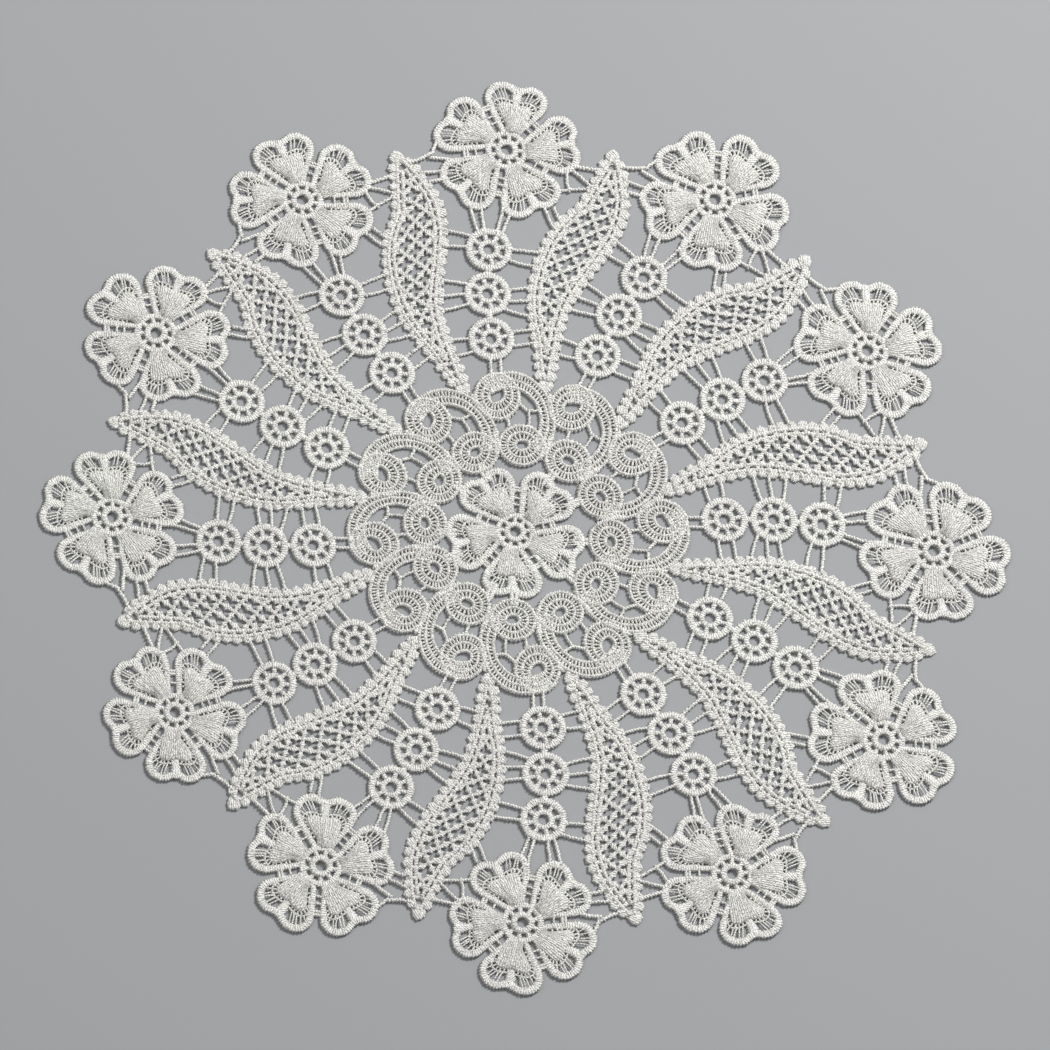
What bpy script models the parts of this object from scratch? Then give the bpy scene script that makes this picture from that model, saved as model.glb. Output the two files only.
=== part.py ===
"""Round lace table mat, 38 cm across, embroidered in one piece and lying flat.

Twelve equal sectors stand around a centre flower. Each sector holds a scroll
nearest the centre, a chain of three round discs, a leaf and an outer flower,
and thin bars tie them together. The solid is the outline of all of these laid
over each other, with the larger gaps cut through, a flat underside and a
raised top: each petal carries a padded fan, each scroll a low rib, and the
flowers and discs are dimpled in the middle.

Every motif is drawn in millimetres in the frame of the first sector, where
the mat's centre is the origin and +Y runs outwards through the outer flower.
The finished mesh is in metres.
"""

import math
from collections import namedtuple

import bmesh
import bpy
import numpy as np
from mathutils import Vector
from mathutils.geometry import delaunay_2d_cdt

MM = 0.001

# The mat as a whole
REPEATS = 12
FLOWER_CIRCLE = 160.0      # mat centre to the centre of an outer flower

# Thickness of the lace over its flat underside
EDGE_HEIGHT = 1.3          # along every edge
PAD_HEIGHT = 2.6           # crest of the padded fan in a petal
CELL_HEIGHT = 1.0          # open cells of the petals and the net of the leaves
RING_HEIGHT = 1.8          # wound ring in the middle of a flower
RIDGE_HEIGHT = 1.7         # middle rib of a scroll
DIMPLE_HEIGHT = 1.0        # bottom of the dimple in the middle of a flower or a disc

# Flower of five petals, each with two round lobes
PETALS = 5
OUTER_FIRST_PETAL = 78.4   # degrees from +X to the first petal of an outer flower
CENTRE_FIRST_PETAL = 49.6  # the same for the centre flower
PETAL_BASE = 7.0           # flower centre to a petal's base
PETAL_BASE_HALF = 3.7      # half the width of that base
LOBE_DISTANCE = 22.0       # flower centre to a lobe's centre
LOBE_ANGLE = 14.0          # degrees between a lobe's centre and the petal's axis
LOBE_RADIUS = 7.3
NOTCH_RADIUS = 5.0         # round notch between the two lobes
HEART_RADIUS = 8.6         # disc that joins the petals' bases
HEART_SIDES = 10
LOBE_STEPS = 6             # straight steps round one lobe
RING_RADIUS = 3.6          # crest of the wound ring
# Points of a petal's raised fan and of its open cells: distance from the flower's
# centre and degrees from the petal's axis
PAD_POINTS = ((10.0, 0.0), (15.0, 12.5), (15.0, -12.5), (18.5, 0.0))
CELL_POINTS = ((23.5, 14.0), (23.5, -14.0))
CENTRE_PLACE = (-1.0, 0.0)
CENTRE_SIZE = 0.94         # the centre flower is worked a little smaller
# Where the centre flower is caught to the scrolls: directions in degrees from +X
CENTRE_TIES = (28.0, 58.0, 115.0, 140.0, 182.0, 203.0, 248.0, 268.0, 320.0, 354.0)
TIE_FROM, TIE_TO = 23.0, 30.0
TIE_WIDTH = 3.4
# Stitched webs between the petals: how far each reaches from the flower's centre,
# counter-clockwise from the first petal, and their size
WEB_REACHES = (20.4, 17.4, 20.2, 18.4, 17.4)
WEB_LENGTH = 2.4
WEB_WIDTH = 4.0

# Chain of round discs
Disc = namedtuple("Disc", "x y")
DISCS = (
    Disc(x=-8.3, y=80.3),
    Disc(x=-9.2, y=99.2),
    Disc(x=-8.2, y=117.8),
)
DISC_RADIUS = 9.2
DISC_SIDES = 16
DISC_JOIN_HALF = 2.2       # half the width of the seam between two discs

# Scroll: an oval ribbon that ends in two curls
Oval = namedtuple("Oval", "x y half_x half_y turn")
RIBBON_OUTSIDE = Oval(x=-1.5, y=46.0, half_x=17.5, half_y=21.0, turn=0.0)
RIBBON_INSIDE = Oval(x=-1.5, y=47.0, half_x=11.3, half_y=12.6, turn=0.0)
RIBBON_FROM, RIBBON_TO = -48.0, 128.0
RIBBON_STEPS_OUTSIDE, RIBBON_STEPS_INSIDE = 16, 12
RIB_SPAN = (-30.0, 80.0)   # degrees along which the ribbon's middle rib is raised
RIB_STEPS = 4
CURLS = (
    Oval(x=-6.5, y=56.3, half_x=9.0, half_y=10.0, turn=0.0),
    Oval(x=2.5, y=36.2, half_x=9.3, half_y=8.7, turn=0.0),
)
CURL_SIDES = 20
# Open wedge between two petals of an outer flower, beside the leaf
PETAL_WEDGE = Oval(x=-22.3, y=158.6, half_x=4.8, half_y=2.1, turn=-3.0)
WEDGE_SIDES = 8

# Leaf: its midline leaves the mat's centre at LEAF_DIRECTION. "along" is the
# distance on that line, "shift" the midline's offset to its left and "half"
# half the leaf's width there
LEAF_DIRECTION = 76.5
LeafRow = namedtuple("LeafRow", "along shift half")
LEAF = (
    LeafRow(along=59.5, shift=1.6, half=0.9),
    LeafRow(along=63.0, shift=1.9, half=3.6),
    LeafRow(along=70.0, shift=3.7, half=4.8),
    LeafRow(along=80.0, shift=5.4, half=6.2),
    LeafRow(along=90.0, shift=7.4, half=8.3),
    LeafRow(along=100.0, shift=7.8, half=10.1),
    LeafRow(along=110.0, shift=5.9, half=12.1),
    LeafRow(along=120.0, shift=3.1, half=13.5),
    LeafRow(along=130.0, shift=-0.4, half=13.5),
    LeafRow(along=140.0, shift=-4.2, half=10.8),
    LeafRow(along=150.0, shift=-4.8, half=8.2),
    LeafRow(along=160.0, shift=-4.2, half=4.8),
    LeafRow(along=164.5, shift=-2.9, half=1.9),
)
LEAF_STEPS = 2             # straight steps of its outline between two rows
LEAF_NET = LEAF[3:-2:2]    # rows at whose middle its net is sunken

# Bars that tie the motifs of one sector together, each from one end to the other
Bar = namedtuple("Bar", "x0 y0 x1 y1 width")
BARS = (
    # scroll to the first disc
    Bar(x0=-8.6, y0=64.0, x1=-8.7, y1=73.0, width=1.5),
    Bar(x0=-4.6, y0=64.5, x1=-4.7, y1=74.0, width=1.5),
    # discs to the leaf on their left
    Bar(x0=-15.0, y0=80.3, x1=-25.5, y1=79.3, width=1.6),
    Bar(x0=-14.5, y0=75.3, x1=-23.0, y1=73.0, width=1.5),
    Bar(x0=-16.0, y0=103.2, x1=-27.0, y1=104.8, width=1.5),
    Bar(x0=-16.5, y0=99.1, x1=-28.0, y1=97.8, width=1.5),
    Bar(x0=-15.5, y0=95.5, x1=-27.0, y1=92.1, width=1.5),
    Bar(x0=-14.5, y0=123.4, x1=-25.5, y1=125.8, width=1.5),
    Bar(x0=-15.5, y0=119.0, x1=-26.0, y1=119.4, width=1.5),
    # discs to the leaf on their right
    Bar(x0=-1.0, y0=83.3, x1=8.0, y1=84.5, width=1.5),
    Bar(x0=-1.0, y0=77.7, x1=9.0, y1=79.3, width=1.5),
    Bar(x0=-2.0, y0=100.8, x1=7.0, y1=101.9, width=1.5),
    Bar(x0=-1.5, y0=96.4, x1=7.0, y1=96.9, width=1.5),
    Bar(x0=-3.5, y0=93.0, x1=7.5, y1=90.1, width=1.5),
    Bar(x0=-1.0, y0=118.1, x1=12.0, y1=117.0, width=1.5),
    Bar(x0=-1.5, y0=113.9, x1=10.5, y1=111.2, width=1.5),
    # last disc to the outer flower
    Bar(x0=-11.8, y0=124.0, x1=-15.0, y1=136.0, width=1.5),
    Bar(x0=-9.8, y0=125.0, x1=-10.6, y1=136.5, width=1.5),
    Bar(x0=-5.0, y0=125.0, x1=-2.0, y1=137.0, width=1.5),
    Bar(x0=-2.9, y0=124.0, x1=1.0, y1=133.5, width=1.5),
    # outer flower to the leaf on its right
    Bar(x0=14.3, y0=136.0, x1=17.2, y1=128.0, width=1.5),
    Bar(x0=17.8, y0=136.0, x1=20.6, y1=129.0, width=1.5),
    Bar(x0=18.5, y0=142.9, x1=31.0, y1=143.6, width=1.5),
    Bar(x0=23.3, y0=152.0, x1=24.1, y1=142.5, width=1.5),
    Bar(x0=23.5, y0=153.0, x1=33.0, y1=144.2, width=1.5),
    Bar(x0=25.0, y0=153.6, x1=36.0, y1=151.4, width=1.8),
    # outer flower to the leaf on its left
    Bar(x0=-26.6, y0=163.8, x1=-29.3, y1=158.0, width=1.8),
    Bar(x0=-29.3, y0=158.4, x1=-38.0, y1=154.4, width=1.8),
    Bar(x0=-20.5, y0=155.2, x1=-30.0, y1=156.6, width=1.8),
    Bar(x0=-24.0, y0=151.2, x1=-34.0, y1=150.2, width=1.5),
    Bar(x0=-24.5, y0=147.4, x1=-30.5, y1=146.6, width=1.8),
    # inside the scroll
    Bar(x0=1.2, y0=54.6, x1=5.6, y1=50.6, width=1.6),
    Bar(x0=5.5, y0=51.2, x1=5.2, y1=43.0, width=1.3),
    Bar(x0=5.2, y0=50.6, x1=10.5, y1=51.0, width=1.5),
    Bar(x0=-2.8, y0=48.5, x1=-2.2, y1=43.5, width=1.4),
    # scroll to the foot of the leaf and to the next scroll
    Bar(x0=13.2, y0=54.0, x1=14.6, y1=57.0, width=2.8),
    Bar(x0=14.2, y0=40.0, x1=11.4, y1=32.6, width=2.8),
)

# How loosely the mat lies: the shift of each outer flower, clockwise from the
# first, away from the centre and sideways to the right. The shift fades
# towards the middle of the mat
Lie = namedtuple("Lie", "outwards sideways")
LIES = (
    Lie(outwards=0.0, sideways=-0.5),
    Lie(outwards=3.5, sideways=-0.5),
    Lie(outwards=1.0, sideways=0.5),
    Lie(outwards=3.0, sideways=3.0),
    Lie(outwards=2.5, sideways=0.5),
    Lie(outwards=-0.5, sideways=0.0),
    Lie(outwards=0.0, sideways=2.0),
    Lie(outwards=0.0, sideways=-1.0),
    Lie(outwards=-4.5, sideways=-0.5),
    Lie(outwards=-2.5, sideways=1.5),
    Lie(outwards=0.0, sideways=-2.0),
    Lie(outwards=-1.5, sideways=-2.5),
)

# Gaps and outlines
LEAST_GAP_WIDTH = 4.15     # narrower gaps are closed
OUTLINE_TOLERANCE = 0.68   # an outline point nearer its chord is left out
RELIEF_CLEARANCE = 0.7     # raised points keep this far from an outline
WELD = 1e-3                # crossing outlines meet within this distance

THREAD_COLOUR = (0.80, 0.78, 0.74, 1.0)
THREAD_ROUGHNESS = 0.75


def clear_scene():
    """Remove whatever the file opened with."""
    for thing in list(bpy.data.objects):
        bpy.data.objects.remove(thing, do_unlink=True)


def rotated(points, degrees):
    """Turn points about the mat's centre, counter-clockwise."""
    cos, sin = math.cos(math.radians(degrees)), math.sin(math.radians(degrees))
    points = np.asarray(points, dtype=float)
    return np.stack([points[:, 0] * cos - points[:, 1] * sin,
                     points[:, 0] * sin + points[:, 1] * cos], axis=1)


def arc(centre, radius_x, radius_y, start, end, steps):
    """Points of an elliptical arc, both ends included, angles in degrees."""
    angles = np.radians(np.linspace(start, end, steps + 1))
    return np.stack([centre[0] + radius_x * np.cos(angles),
                     centre[1] + radius_y * np.sin(angles)], axis=1)


def oval(shape, sides):
    """Closed outline of an oval."""
    points = arc((0.0, 0.0), shape.half_x, shape.half_y, 0.0, 360.0, sides)[:-1]
    return rotated(points, shape.turn) + (shape.x, shape.y)


def bar(row):
    """Four corners of a straight bar."""
    start, end = np.array([row.x0, row.y0]), np.array([row.x1, row.y1])
    along = (end - start) / np.linalg.norm(end - start)
    across = np.array([-along[1], along[0]]) * row.width / 2
    return np.array([start - across, end - across, end + across, start + across])


def smooth_closed(points, steps):
    """Catmull-Rom curve through closed control points, steps points a span."""
    points = np.asarray(points, dtype=float)
    before, after = np.roll(points, 1, axis=0), np.roll(points, -1, axis=0)
    beyond = np.roll(points, -2, axis=0)
    curve = []
    for t in np.arange(steps) / steps:
        curve.append(0.5 * (2 * points + (after - before) * t
                            + (2 * before - 5 * points + 4 * after - beyond) * t ** 2
                            + (3 * points - before - 3 * after + beyond) * t ** 3))
    return np.stack(curve, axis=1).reshape(-1, 2)


def petal():
    """Outline of one petal whose axis is +X, from the flower's centre.

    Straight sides run from the base to the lobes, and a small arc rounds the
    notch where the two lobes meet.
    """
    angle = math.radians(LOBE_ANGLE)
    lobe = np.array([LOBE_DISTANCE * math.cos(angle), LOBE_DISTANCE * math.sin(angle)])
    base = np.array([PETAL_BASE, PETAL_BASE_HALF])
    reach = lobe - base
    distance = np.linalg.norm(reach)
    side = math.degrees(math.atan2(reach[1], reach[0]) + math.asin(LOBE_RADIUS / distance))
    notch_x = lobe[0] + math.sqrt((LOBE_RADIUS + NOTCH_RADIUS) ** 2 - lobe[1] ** 2)
    meet = math.degrees(math.atan2(lobe[1], notch_x - lobe[0]))
    upper = arc(lobe, LOBE_RADIUS, LOBE_RADIUS, side + 90.0, -meet, LOBE_STEPS)
    notch = np.array([[notch_x - NOTCH_RADIUS, 0.0]])
    lower = upper[::-1] * (1.0, -1.0)
    outline = np.concatenate([[base], upper, notch, lower, [base * (1.0, -1.0)]])
    return outline[::-1]


def flower(centre, first_petal, size=1.0):
    """Outlines of a flower: its heart, its petals and the webs between them."""
    heart = Oval(x=0.0, y=0.0, half_x=HEART_RADIUS, half_y=HEART_RADIUS, turn=0.0)
    shapes = [oval(heart, HEART_SIDES)]
    for number in range(PETALS):
        axis = first_petal + 360.0 / PETALS * number
        shapes.append(rotated(petal(), axis))
        reach = WEB_REACHES[number]
        web = Bar(x0=reach - WEB_LENGTH, y0=0.0, x1=reach, y1=0.0, width=WEB_WIDTH)
        shapes.append(rotated(bar(web), axis + 180.0 / PETALS))
    return [shape * size + np.array(centre) for shape in shapes]


def centre_ties():
    """Short bars from the centre flower to the scrolls around it."""
    tie = bar(Bar(x0=TIE_FROM, y0=0.0, x1=TIE_TO, y1=0.0, width=TIE_WIDTH))
    return [rotated(tie, direction) + np.array(CENTRE_PLACE) for direction in CENTRE_TIES]


def leaf_place(along, shift):
    """A leaf point from the distance along its line and the offset to its left."""
    angle = math.radians(LEAF_DIRECTION)
    return np.array([along * math.cos(angle) - shift * math.sin(angle),
                     along * math.sin(angle) + shift * math.cos(angle)])


def leaf():
    """Closed outline of the leaf, up its right side and down its left."""
    right = [leaf_place(row.along, row.shift - row.half) for row in LEAF]
    left = [leaf_place(row.along, row.shift + row.half) for row in LEAF]
    return smooth_closed(right + left[::-1], LEAF_STEPS)


def scroll():
    """Outlines of the scroll's ribbon and of its two curls."""
    outside, inside = RIBBON_OUTSIDE, RIBBON_INSIDE
    outer = arc((outside.x, outside.y), outside.half_x, outside.half_y,
                RIBBON_FROM, RIBBON_TO, RIBBON_STEPS_OUTSIDE)
    inner = arc((inside.x, inside.y), inside.half_x, inside.half_y,
                RIBBON_TO, RIBBON_FROM, RIBBON_STEPS_INSIDE)
    return [np.concatenate([outer, inner])] + [oval(curl, CURL_SIDES) for curl in CURLS]


def disc_chain():
    """Outlines of the three discs and of the seams between them."""
    shapes = []
    for disc in DISCS:
        round_disc = Oval(x=disc.x, y=disc.y, half_x=DISC_RADIUS, half_y=DISC_RADIUS, turn=0.0)
        shapes.append(oval(round_disc, DISC_SIDES))
    for first, second in zip(DISCS, DISCS[1:]):
        middle = Bar(x0=first.x, y0=first.y, x1=second.x, y1=second.y,
                     width=2 * DISC_JOIN_HALF)
        shapes.append(bar(middle))
    return shapes


def all_round(shapes):
    """The shapes of one sector, repeated around the mat."""
    return [rotated(shape, -360.0 / REPEATS * number)
            for number in range(REPEATS) for shape in shapes]


def stack_outlines(outlines):
    """Number the points of many closed outlines for the triangulation."""
    points = [Vector(point) for outline in outlines for point in outline]
    faces, first = [], 0
    for outline in outlines:
        faces.append(list(range(first, first + len(outline))))
        first += len(outline)
    return points, faces


def boundary_loops(triangles):
    """Closed loops around a set of triangles, with the material on their left."""
    edges = {(tri[i], tri[(i + 1) % 3]) for tri in triangles for i in range(3)}
    follow = {a: b for a, b in edges if (b, a) not in edges}
    loops = []
    while follow:
        start, here = follow.popitem()
        loop = [start]
        while here != start:
            loop.append(here)
            here = follow.pop(here)
        loops.append(loop)
    return loops


def area(outline):
    """Signed area of a closed outline, positive where it runs counter-clockwise."""
    x, y = outline[:, 0], outline[:, 1]
    return 0.5 * float(np.sum(x * np.roll(y, -1) - np.roll(x, -1) * y))


def mean_width(outline):
    """Four times the area over the length of the outline: a square's own side."""
    length = np.linalg.norm(outline - np.roll(outline, -1, axis=0), axis=1).sum()
    return 4.0 * abs(area(outline)) / length


def thinned(points, tolerance):
    """Leave out the points of an open run that lie near its chord."""
    start, end = points[0], points[-1]
    chord = end - start
    offset = points - start
    away = np.abs(chord[0] * offset[:, 1] - chord[1] * offset[:, 0]) / np.linalg.norm(chord)
    far = int(np.argmax(away))
    if away[far] <= tolerance:
        return [start, end]
    return thinned(points[:far + 1], tolerance)[:-1] + thinned(points[far:], tolerance)


def simplified(outline):
    """A closed outline with only the points that its shape needs."""
    first = int(np.argmax(np.linalg.norm(outline - outline.mean(axis=0), axis=1)))
    outline = np.roll(outline, -first, axis=0)
    far = int(np.argmax(np.linalg.norm(outline - outline[0], axis=1)))
    closed = np.concatenate([outline, outline[:1]])
    there = thinned(closed[:far + 1], OUTLINE_TOLERANCE)
    back = thinned(closed[far:], OUTLINE_TOLERANCE)
    return np.array(there[:-1] + back[:-1])


def mat_outlines():
    """The mat's outer outline, and the outlines of the gaps cut through it."""
    outer_flower = flower((0.0, FLOWER_CIRCLE), OUTER_FIRST_PETAL)
    sector = scroll() + disc_chain() + [leaf()] + [bar(row) for row in BARS] + outer_flower
    centre_flower = flower(CENTRE_PLACE, CENTRE_FIRST_PETAL, CENTRE_SIZE)
    solids = all_round(sector) + centre_flower + centre_ties()
    wedges = all_round([oval(PETAL_WEDGE, WEDGE_SIDES)])
    points, faces = stack_outlines(solids + wedges)
    merged, _, triangles, _, _, owners = delaunay_2d_cdt(points, [], faces, 1, WELD)
    kept = [tri for tri, inside in zip(triangles, owners)
            if inside and max(inside) < len(solids)]
    merged = np.array([tuple(point) for point in merged])
    loops = [merged[loop] for loop in boundary_loops(kept)]
    outer = max(loops, key=area)
    gaps = [loop for loop in loops if area(loop) < 0 and mean_width(loop) > LEAST_GAP_WIDTH]
    return simplified(outer), [simplified(gap)[::-1] for gap in gaps]


def flower_relief(centre, first_petal, size=1.0):
    """Raised points of a flower as rows of x, y and height."""
    rows = [(0.0, 0.0, DIMPLE_HEIGHT)]
    ring = arc((0.0, 0.0), RING_RADIUS, RING_RADIUS,
               first_petal, first_petal + 360.0, PETALS)[:-1]
    rows += [(x, y, RING_HEIGHT) for x, y in ring]
    for number in range(PETALS):
        axis = first_petal + 360.0 / PETALS * number
        for places, height in ((PAD_POINTS, PAD_HEIGHT), (CELL_POINTS, CELL_HEIGHT)):
            for distance, turn in places:
                angle = math.radians(axis + turn)
                rows.append((distance * math.cos(angle), distance * math.sin(angle), height))
    return np.array(rows) * (size, size, 1.0) + (centre[0], centre[1], 0.0)


def sector_relief():
    """Raised and sunken points of one sector as rows of x, y and height."""
    rows = [(disc.x, disc.y, DIMPLE_HEIGHT) for disc in DISCS]
    for row in LEAF_NET:
        x, y = leaf_place(row.along, row.shift)
        rows.append((x, y, CELL_HEIGHT))
    rib = arc((RIBBON_OUTSIDE.x, RIBBON_INSIDE.y),
              (RIBBON_OUTSIDE.half_x + RIBBON_INSIDE.half_x) / 2,
              (RIBBON_OUTSIDE.half_y + RIBBON_INSIDE.half_y) / 2, *RIB_SPAN, RIB_STEPS)
    rows += [(x, y, RIDGE_HEIGHT) for x, y in rib]
    rows.append((CURLS[1].x, CURLS[1].y, DIMPLE_HEIGHT))
    return np.concatenate([np.array(rows),
                           flower_relief((0.0, FLOWER_CIRCLE), OUTER_FIRST_PETAL)])


def mat_relief():
    """Raised and sunken points of the whole mat as rows of x, y and height."""
    sector = sector_relief()
    rows = [np.column_stack([rotated(sector[:, :2], -360.0 / REPEATS * number), sector[:, 2]])
            for number in range(REPEATS)]
    rows.append(flower_relief(CENTRE_PLACE, CENTRE_FIRST_PETAL, CENTRE_SIZE))
    return np.concatenate(rows)


def distance_to_outline(point, outline):
    """Shortest distance from a point to a closed outline."""
    start, step = outline, np.roll(outline, -1, axis=0) - outline
    along = ((point - start) * step).sum(axis=1) / (step ** 2).sum(axis=1)
    nearest = start + step * np.clip(along, 0.0, 1.0)[:, None]
    return float(np.linalg.norm(nearest - point, axis=1).min())


def clear_relief(relief, outlines):
    """The relief points that keep clear of every outline."""
    return np.array([row for row in relief
                     if min(distance_to_outline(row[:2], outline) for outline in outlines)
                     > RELIEF_CLEARANCE])


def lie(points):
    """Shift points as the mat lies: the shifts of the flowers, fading inwards."""
    radius = np.linalg.norm(points, axis=1)
    clockwise = np.pi / 2 - np.arctan2(points[:, 1], points[:, 0])
    step = 2 * np.pi / REPEATS
    place = np.mod(clockwise / step, REPEATS)
    first = np.floor(place).astype(int) % REPEATS
    blend = (1.0 - np.cos(np.pi * (place - np.floor(place)))) / 2
    table = np.array(LIES)
    shift = table[first] * (1.0 - blend)[:, None] + table[(first + 1) % REPEATS] * blend[:, None]
    shift = shift * (radius / FLOWER_CIRCLE)[:, None] ** 2
    outwards = np.stack([np.sin(clockwise), np.cos(clockwise)], axis=1)
    sideways = np.stack([np.cos(clockwise), -np.sin(clockwise)], axis=1)
    return points + outwards * shift[:, :1] + sideways * shift[:, 1:]


def filled(outer, gaps, extra):
    """Triangles between an outer outline and its gaps, through extra points too."""
    points, faces = stack_outlines([outer] + gaps)
    points += [Vector(point) for point in extra]
    _, _, triangles, sources, _, owners = delaunay_2d_cdt(points, [], faces, 1, WELD)
    return [[sources[corner][0] for corner in tri]
            for tri, inside in zip(triangles, owners) if list(inside) == [0]]


def build_mat():
    """One closed mesh: flat underside, upright edges and the raised top."""
    outer, gaps = mat_outlines()
    relief = clear_relief(mat_relief(), [outer] + gaps)
    rim = np.concatenate([outer] + gaps)
    flat = lie(np.concatenate([rim, relief[:, :2]]))
    heights = np.concatenate([np.full(len(rim), EDGE_HEIGHT), relief[:, 2]])
    middle = (flat[:len(outer)].min(axis=0) + flat[:len(outer)].max(axis=0)) / 2
    flat = (flat - middle) * MM

    bm = bmesh.new()
    top = [bm.verts.new((x, y, height * MM)) for (x, y), height in zip(flat, heights)]
    under = [bm.verts.new((x, y, 0.0)) for x, y in flat[:len(rim)]]
    for corners in filled(outer, gaps, relief[:, :2]):
        bm.faces.new([top[corner] for corner in corners])
    for corners in filled(outer, gaps, []):
        bm.faces.new([under[corner] for corner in reversed(corners)])
    first = 0
    for outline, turn in [(outer, 1)] + [(gap, -1) for gap in gaps]:
        ring = list(range(first, first + len(outline)))[::turn]
        for here, beyond in zip(ring, ring[1:] + ring[:1]):
            bm.faces.new([under[here], under[beyond], top[beyond], top[here]])
        first += len(outline)
    bmesh.ops.delete(bm, geom=[vert for vert in bm.verts if not vert.link_faces],
                     context="VERTS")

    mesh = bpy.data.meshes.new("lace")
    bm.to_mesh(mesh)
    bm.free()
    return mesh


def thread_material():
    """Off-white embroidery thread."""
    material = bpy.data.materials.new("thread")
    material.use_nodes = True
    shader = material.node_tree.nodes["Principled BSDF"]
    shader.inputs["Base Color"].default_value = THREAD_COLOUR
    shader.inputs["Roughness"].default_value = THREAD_ROUGHNESS
    shader.inputs["Metallic"].default_value = 0.0
    return material


clear_scene()
lace = bpy.data.objects.new("lace", build_mat())
lace.data.materials.append(thread_material())
bpy.context.scene.collection.objects.link(lace)
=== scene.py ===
"""Round guipure lace placemat in off-white thread, lying flat on a pale floor.

The mat is drawn in millimetres in the frame of its first sector, where the
mat's centre is the origin and +Y runs outwards through the rim flower. Twelve
sectors repeat it clockwise. The drawing is then laid as the real mat lies,
a few millimetres uneven at the rim, and moved so that the middle of the
mat's box is the origin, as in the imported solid.

Two shapes make nearly everything: a cord, which is a profile carried along a
path, and a pad, which is a domed sheet over a grid. Every other ring of a
cord is a little narrower, which gives the notched edge of stitched thread.
"""

import logging
import math
from dataclasses import dataclass
from enum import Enum
from typing import NamedTuple

import bpy
import numpy as np
from mathutils import Matrix, Vector
from mathutils.geometry import delaunay_2d_cdt


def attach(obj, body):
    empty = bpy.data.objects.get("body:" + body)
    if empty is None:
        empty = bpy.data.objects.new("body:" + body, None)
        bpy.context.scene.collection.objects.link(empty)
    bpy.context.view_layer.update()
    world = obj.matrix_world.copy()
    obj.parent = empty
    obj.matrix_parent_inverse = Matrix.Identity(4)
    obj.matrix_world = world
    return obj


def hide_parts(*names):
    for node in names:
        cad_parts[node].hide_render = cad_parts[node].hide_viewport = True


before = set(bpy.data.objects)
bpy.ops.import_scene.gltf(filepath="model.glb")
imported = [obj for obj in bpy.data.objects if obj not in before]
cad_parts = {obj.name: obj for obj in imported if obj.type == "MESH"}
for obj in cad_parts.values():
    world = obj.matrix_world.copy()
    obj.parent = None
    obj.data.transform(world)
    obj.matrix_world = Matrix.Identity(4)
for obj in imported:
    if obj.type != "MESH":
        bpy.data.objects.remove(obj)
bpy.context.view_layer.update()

log = logging.getLogger("lace")

Array = np.ndarray
Tree = bpy.types.ShaderNodeTree
Colour = tuple[float, float, float]

MM = 0.001
REPEATS = 12
FLOWER_CIRCLE = 160.0            # mat centre to the centre of a rim flower
MAT_MIDDLE = (3.847, 0.006)      # middle of the laid mat's box in the drawing
FUZZ = 0.06                      # spread of the small unevenness of every corner
SWAY = 0.06                      # how far a cord strays to either side
MIRRORS = (1.0, -1.0)            # left and right, or upper and lower


class Oval(NamedTuple):
    """An ellipse: its centre, its half sizes and its turn in degrees."""

    x: float
    y: float
    half_x: float
    half_y: float
    turn: float = 0.0


class Bar(NamedTuple):
    """A straight tie from one motif to another."""

    x0: float
    y0: float
    x1: float
    y1: float
    width: float


class LeafRow(NamedTuple):
    """Distance along the leaf's line, offset of its midline and half its width."""

    along: float
    shift: float
    half: float


class Lie(NamedTuple):
    """Shift of one rim flower: away from the centre and to its right."""

    outwards: float
    sideways: float


class Finish(Enum):
    """The finishes that the thread takes."""

    SATIN = "satin"
    BAND = "band"
    CORD = "cord"
    NET = "net"
    GROUND = "ground"


# Cross-sections of a cord: across in half widths, up in heights
DOMED = np.array([(-1.0, 0.30), (-0.5, 0.93), (0.5, 0.93), (1.0, 0.30), (0.7, 0.0), (-0.7, 0.0)])
BANDED = np.array([(-1.0, 0.55), (-0.55, 1.0), (0.0, 0.88), (0.55, 1.0), (1.0, 0.55), (0.0, 0.0)])
SLIM = np.array([(-1.0, 0.45), (0.0, 1.0), (1.0, 0.45), (0.0, 0.0)])

# How loosely the mat lies, flower by flower, clockwise from the first
LIES = (
    Lie(0.0, -0.5), Lie(3.5, -0.5), Lie(1.0, 0.5), Lie(3.0, 3.0), Lie(2.5, 0.5), Lie(-0.5, 0.0),
    Lie(0.0, 2.0), Lie(0.0, -1.0), Lie(-4.5, -0.5), Lie(-2.5, 1.5), Lie(0.0, -2.0), Lie(-1.5, -2.5),
)


def turned(points: Array, degrees: float) -> Array:
    """Turn flat points counter-clockwise about the origin."""
    cos, sin = math.cos(math.radians(degrees)), math.sin(math.radians(degrees))
    x, y = points[..., 0], points[..., 1]
    return np.stack([x * cos - y * sin, x * sin + y * cos], axis=-1)


def arc(centre: tuple[float, float], radius: float, start: float, end: float, steps: int) -> Array:
    """Points of a circular arc, both ends included.

    Args:
        centre: x and y
        radius: in millimetres
        start: first angle in degrees
        end: last angle in degrees
        steps: number of straight steps

    Returns:
        Array of steps + 1 flat points: centre plus radius times cosine and sine.
    """
    angles = np.radians(np.linspace(start, end, steps + 1))
    return np.stack([centre[0] + radius * np.cos(angles),
                     centre[1] + radius * np.sin(angles)], axis=1)


def ring(centre: tuple[float, float], radius: float, sides: int) -> Array:
    """Points round a circle, without its first point again at the end."""
    return arc(centre, radius, 0.0, 360.0, sides)[:-1]


def oval_points(shape: Oval, angles: Array) -> Array:
    """Half sizes times cosine and sine of angles in degrees, turned, plus the centre."""
    radians = np.radians(angles)
    flat = np.stack([shape.half_x * np.cos(radians), shape.half_y * np.sin(radians)], axis=-1)
    return turned(flat, shape.turn) + (shape.x, shape.y)


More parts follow.
